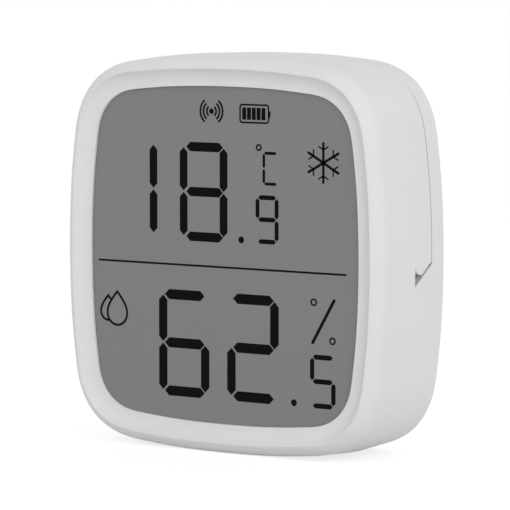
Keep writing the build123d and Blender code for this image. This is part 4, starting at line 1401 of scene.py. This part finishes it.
class SENSOR_OT_inner_finishes(Operator):
    """Give the board, the glass and the other inner pieces their finishes"""

    bl_idname = "sensor.inner_finishes"
    bl_label = "Inner finishes"

    def glass(self, colour):
        """Clear float glass with a faint unevenness."""
        grain, roughness, haze = 400, 0.04, 0.02
        finish, tree, shader = blank_finish("display glass")
        shader.inputs["Base Color"].default_value = (*colour, 1)
        shader.inputs["Transmission Weight"].default_value = 1.0
        shader.inputs["IOR"].default_value = GLASS_INDEX
        uneven = spread(tree, speckle(tree, grain, 2), roughness, haze)
        tree.links.new(uneven, shader.inputs["Roughness"])
        return finish

    def execute(self, context):
        (tints,) = settings("finishes")
        glass = self.glass(tints.glass)
        mask = moulded("solder mask", tints.board, 0.32, 0.18, 3200, 0.012)
        resin = moulded("chip resin", tints.resin, 0.6, 0.3, 7000, 0.006)
        can = rolled_metal("tinned sheet", tints.steel, 0.35, (1, 1, 12))
        bronze = rolled_metal("spring bronze", tints.bronze, 0.3, (14, 1, 1))
        holder = moulded("holder plastic", tints.holder, 0.6)
        chosen = {
            "display_front_glass": glass,
            "display_rear_glass": glass,
            "display_mirror": rolled_metal("mirror film", tints.mirror, 0.15, (1, 1, 1)),
            "display_holder": holder,
            "display_strip": moulded("strip rubber", tints.rubber, 0.8, 0.2, 4000, 0.01),
            "main_board": mask,
            "radio_board": mask,
            "radio_can": can,
            "crystal": can,
            "board_screws": can,
            "display_driver": resin,
            "sensor_chip": resin,
            "tact_switch": resin,
            "switch_plunger": moulded("plunger plastic", tints.plunger, 0.5),
            "chip_capacitors": moulded("ceramic", tints.ceramic, 0.5, 0.12),
            "cell_cap_contact": bronze,
            "cell_can_contact": bronze,
        }
        for node, finish in chosen.items():
            coat(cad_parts[node], finish)
        return {"FINISHED"}


class SENSOR_OT_studio(Operator):
    """Set up the pale floor, the soft lamps and the camera"""

    bl_idname = "sensor.studio"
    bl_label = "Studio"

    def seen(self, tree):
        """One for rays seen straight, mirrored or through glass, and otherwise zero."""
        path = tree.nodes.new("ShaderNodeLightPath")
        first = tree.nodes.new("ShaderNodeMath")
        first.operation = "MAXIMUM"
        second = tree.nodes.new("ShaderNodeMath")
        second.operation = "MAXIMUM"
        tree.links.new(path.outputs["Is Camera Ray"], first.inputs[0])
        tree.links.new(path.outputs["Is Glossy Ray"], first.inputs[1])
        tree.links.new(first.outputs["Value"], second.inputs[0])
        tree.links.new(path.outputs["Is Transmission Ray"], second.inputs[1])
        return second.outputs["Value"]

    def floor(self, studio):
        """A wide flat disc, as rings at the square roots of even shares of its radius."""
        points = circle(studio.floor_radius, (0, 0))[0]
        share = np.linspace(0, 1, FLOOR_RINGS) ** 0.5
        flat = points[:, None, :] * share[None, :, None]
        level = np.full(flat.shape[:2], -studio.floor_drop)
        grid = np.stack([flat[..., 0], flat[..., 1], level], -1)
        shape = piece("floor", [(grid, False)])
        if shape.data.polygons[0].normal.z < 0:
            shape.data.flip_normals()
        paper = bpy.data.materials.new("floor paper")
        paper.use_nodes = True
        tree = paper.node_tree
        tree.nodes.clear()
        matt = tree.nodes.new("ShaderNodeBsdfDiffuse")
        matt.inputs["Color"].default_value = (*[studio.floor_tone] * 3, 1)
        pale = tree.nodes.new("ShaderNodeBsdfDiffuse")
        pale.inputs["Color"].default_value = (*[studio.floor_pale] * 3, 1)
        glow = tree.nodes.new("ShaderNodeEmission")
        glow.inputs["Strength"].default_value = studio.floor_glow
        both = tree.nodes.new("ShaderNodeAddShader")
        mix = tree.nodes.new("ShaderNodeMixShader")
        output = tree.nodes.new("ShaderNodeOutputMaterial")
        tree.links.new(pale.outputs["BSDF"], both.inputs[0])
        tree.links.new(glow.outputs["Emission"], both.inputs[1])
        tree.links.new(self.seen(tree), mix.inputs["Fac"])
        tree.links.new(matt.outputs["BSDF"], mix.inputs[1])
        tree.links.new(both.outputs["Shader"], mix.inputs[2])
        tree.links.new(mix.outputs["Shader"], output.inputs["Surface"])
        shape.data.materials.append(paper)

    def world(self, scene, strength):
        """Even light all round, and plain white where the picture shows it."""
        world = bpy.data.worlds.new("studio")
        scene.world = world
        world.use_nodes = True
        tree = world.node_tree
        tree.nodes.clear()
        light = tree.nodes.new("ShaderNodeBackground")
        light.inputs["Strength"].default_value = strength
        white = tree.nodes.new("ShaderNodeBackground")
        mix = tree.nodes.new("ShaderNodeMixShader")
        output = tree.nodes.new("ShaderNodeOutputWorld")
        light.inputs["Color"].default_value = (1, 1, 1, 1)
        white.inputs["Color"].default_value = (1, 1, 1, 1)
        tree.links.new(self.seen(tree), mix.inputs["Fac"])
        tree.links.new(light.outputs["Background"], mix.inputs[1])
        tree.links.new(white.outputs["Background"], mix.inputs[2])
        tree.links.new(mix.outputs["Shader"], output.inputs["Surface"])

    def lamp(self, scene, name, place, size, power, height):
        """A square soft lamp that faces the middle of the object at a height."""
        light = bpy.data.lights.new(name, "AREA")
        light.size = size
        light.energy = power
        lamp = bpy.data.objects.new(name, light)
        scene.collection.objects.link(lamp)
        lamp.location = place
        aim = np.array(place) - np.array([0, 0, height])
        lamp.rotation_euler = (
            math.atan2(math.hypot(aim[0], aim[1]), aim[2]),
            0,
            math.atan2(aim[1], aim[0]) + math.pi / 2,
        )

    def execute(self, context):
        scene, (studio,) = context.scene, settings("studio")
        self.floor(studio)
        self.world(scene, studio.ambient)
        aim = studio.lit_height
        self.lamp(scene, "key lamp", studio.key_place, studio.key_size, studio.key_power, aim)
        self.lamp(
            scene, "front lamp", studio.front_place, studio.front_size, studio.front_power, aim
        )
        camera = bpy.data.cameras.new("camera")
        camera.sensor_width = 36
        camera.lens = studio.lens
        camera.clip_start = 10 * MM
        stand = bpy.data.objects.new("camera", camera)
        scene.collection.objects.link(stand)
        level, rise = math.cos(studio.tilt), math.sin(studio.tilt)
        out = np.array([math.sin(studio.turn) * level, -math.cos(studio.turn) * level, rise])
        stand.location = np.array(studio.aim) + out * studio.distance
        stand.rotation_euler = (math.pi / 2 - studio.tilt, 0, studio.turn)
        scene.camera = stand
        scene.view_settings.view_transform = "Standard"
        return {"FINISHED"}


class SENSOR_PT_build(Panel):
    """Lists the steps that dress the sensor"""

    bl_label = "Room climate sensor"
    bl_idname = "SENSOR_PT_build"
    bl_space_type = "VIEW_3D"
    bl_region_type = "UI"
    bl_category = "Sensor"

    def draw(self, context):
        for step in STEPS:
            self.layout.operator(step.bl_idname)
        for name in GROUPS:
            column = self.layout.column(heading=name.replace("sensor_", "").capitalize())
            sizes = getattr(context.scene, name)
            for entry in sizes.__annotations__:
                column.prop(sizes, entry)


GROUPS = {
    "sensor_body": BodySizes,
    "sensor_front": FrontSizes,
    "sensor_rear": RearSizes,
    "sensor_cover": CoverSizes,
    "sensor_button": ButtonSizes,
    "sensor_cell": CellSizes,
    "sensor_magnets": MagnetSizes,
    "sensor_pad": PadSizes,
    "sensor_picture": PictureSizes,
    "sensor_finishes": Finishes,
    "sensor_studio": StudioSettings,
}
STEPS = (
    SENSOR_OT_front_housing,
    SENSOR_OT_rear_housing,
    SENSOR_OT_rear_cover,
    SENSOR_OT_picture,
    SENSOR_OT_pairing_button,
    SENSOR_OT_coin_cell,
    SENSOR_OT_magnets,
    SENSOR_OT_foam_pad,
    SENSOR_OT_inner_finishes,
    SENSOR_OT_studio,
)


def register():
    for entry in (*GROUPS.values(), *STEPS, SENSOR_PT_build):
        bpy.utils.register_class(entry)
    for name, group in GROUPS.items():
        setattr(bpy.types.Scene, name, PointerProperty(type=group))


def unregister():
    for name in GROUPS:
        delattr(bpy.types.Scene, name)
    for entry in reversed((*GROUPS.values(), *STEPS, SENSOR_PT_build)):
        bpy.utils.unregister_class(entry)


def main():
    register()
    bpy.ops.sensor.front_housing()
    bpy.ops.sensor.rear_housing()
    bpy.ops.sensor.rear_cover()
    bpy.ops.sensor.picture()
    bpy.ops.sensor.pairing_button()
    bpy.ops.sensor.coin_cell()
    bpy.ops.sensor.magnets()
    bpy.ops.sensor.foam_pad()
    bpy.ops.sensor.inner_finishes()
    bpy.ops.sensor.studio()


if __name__ == "__main__":
    main()
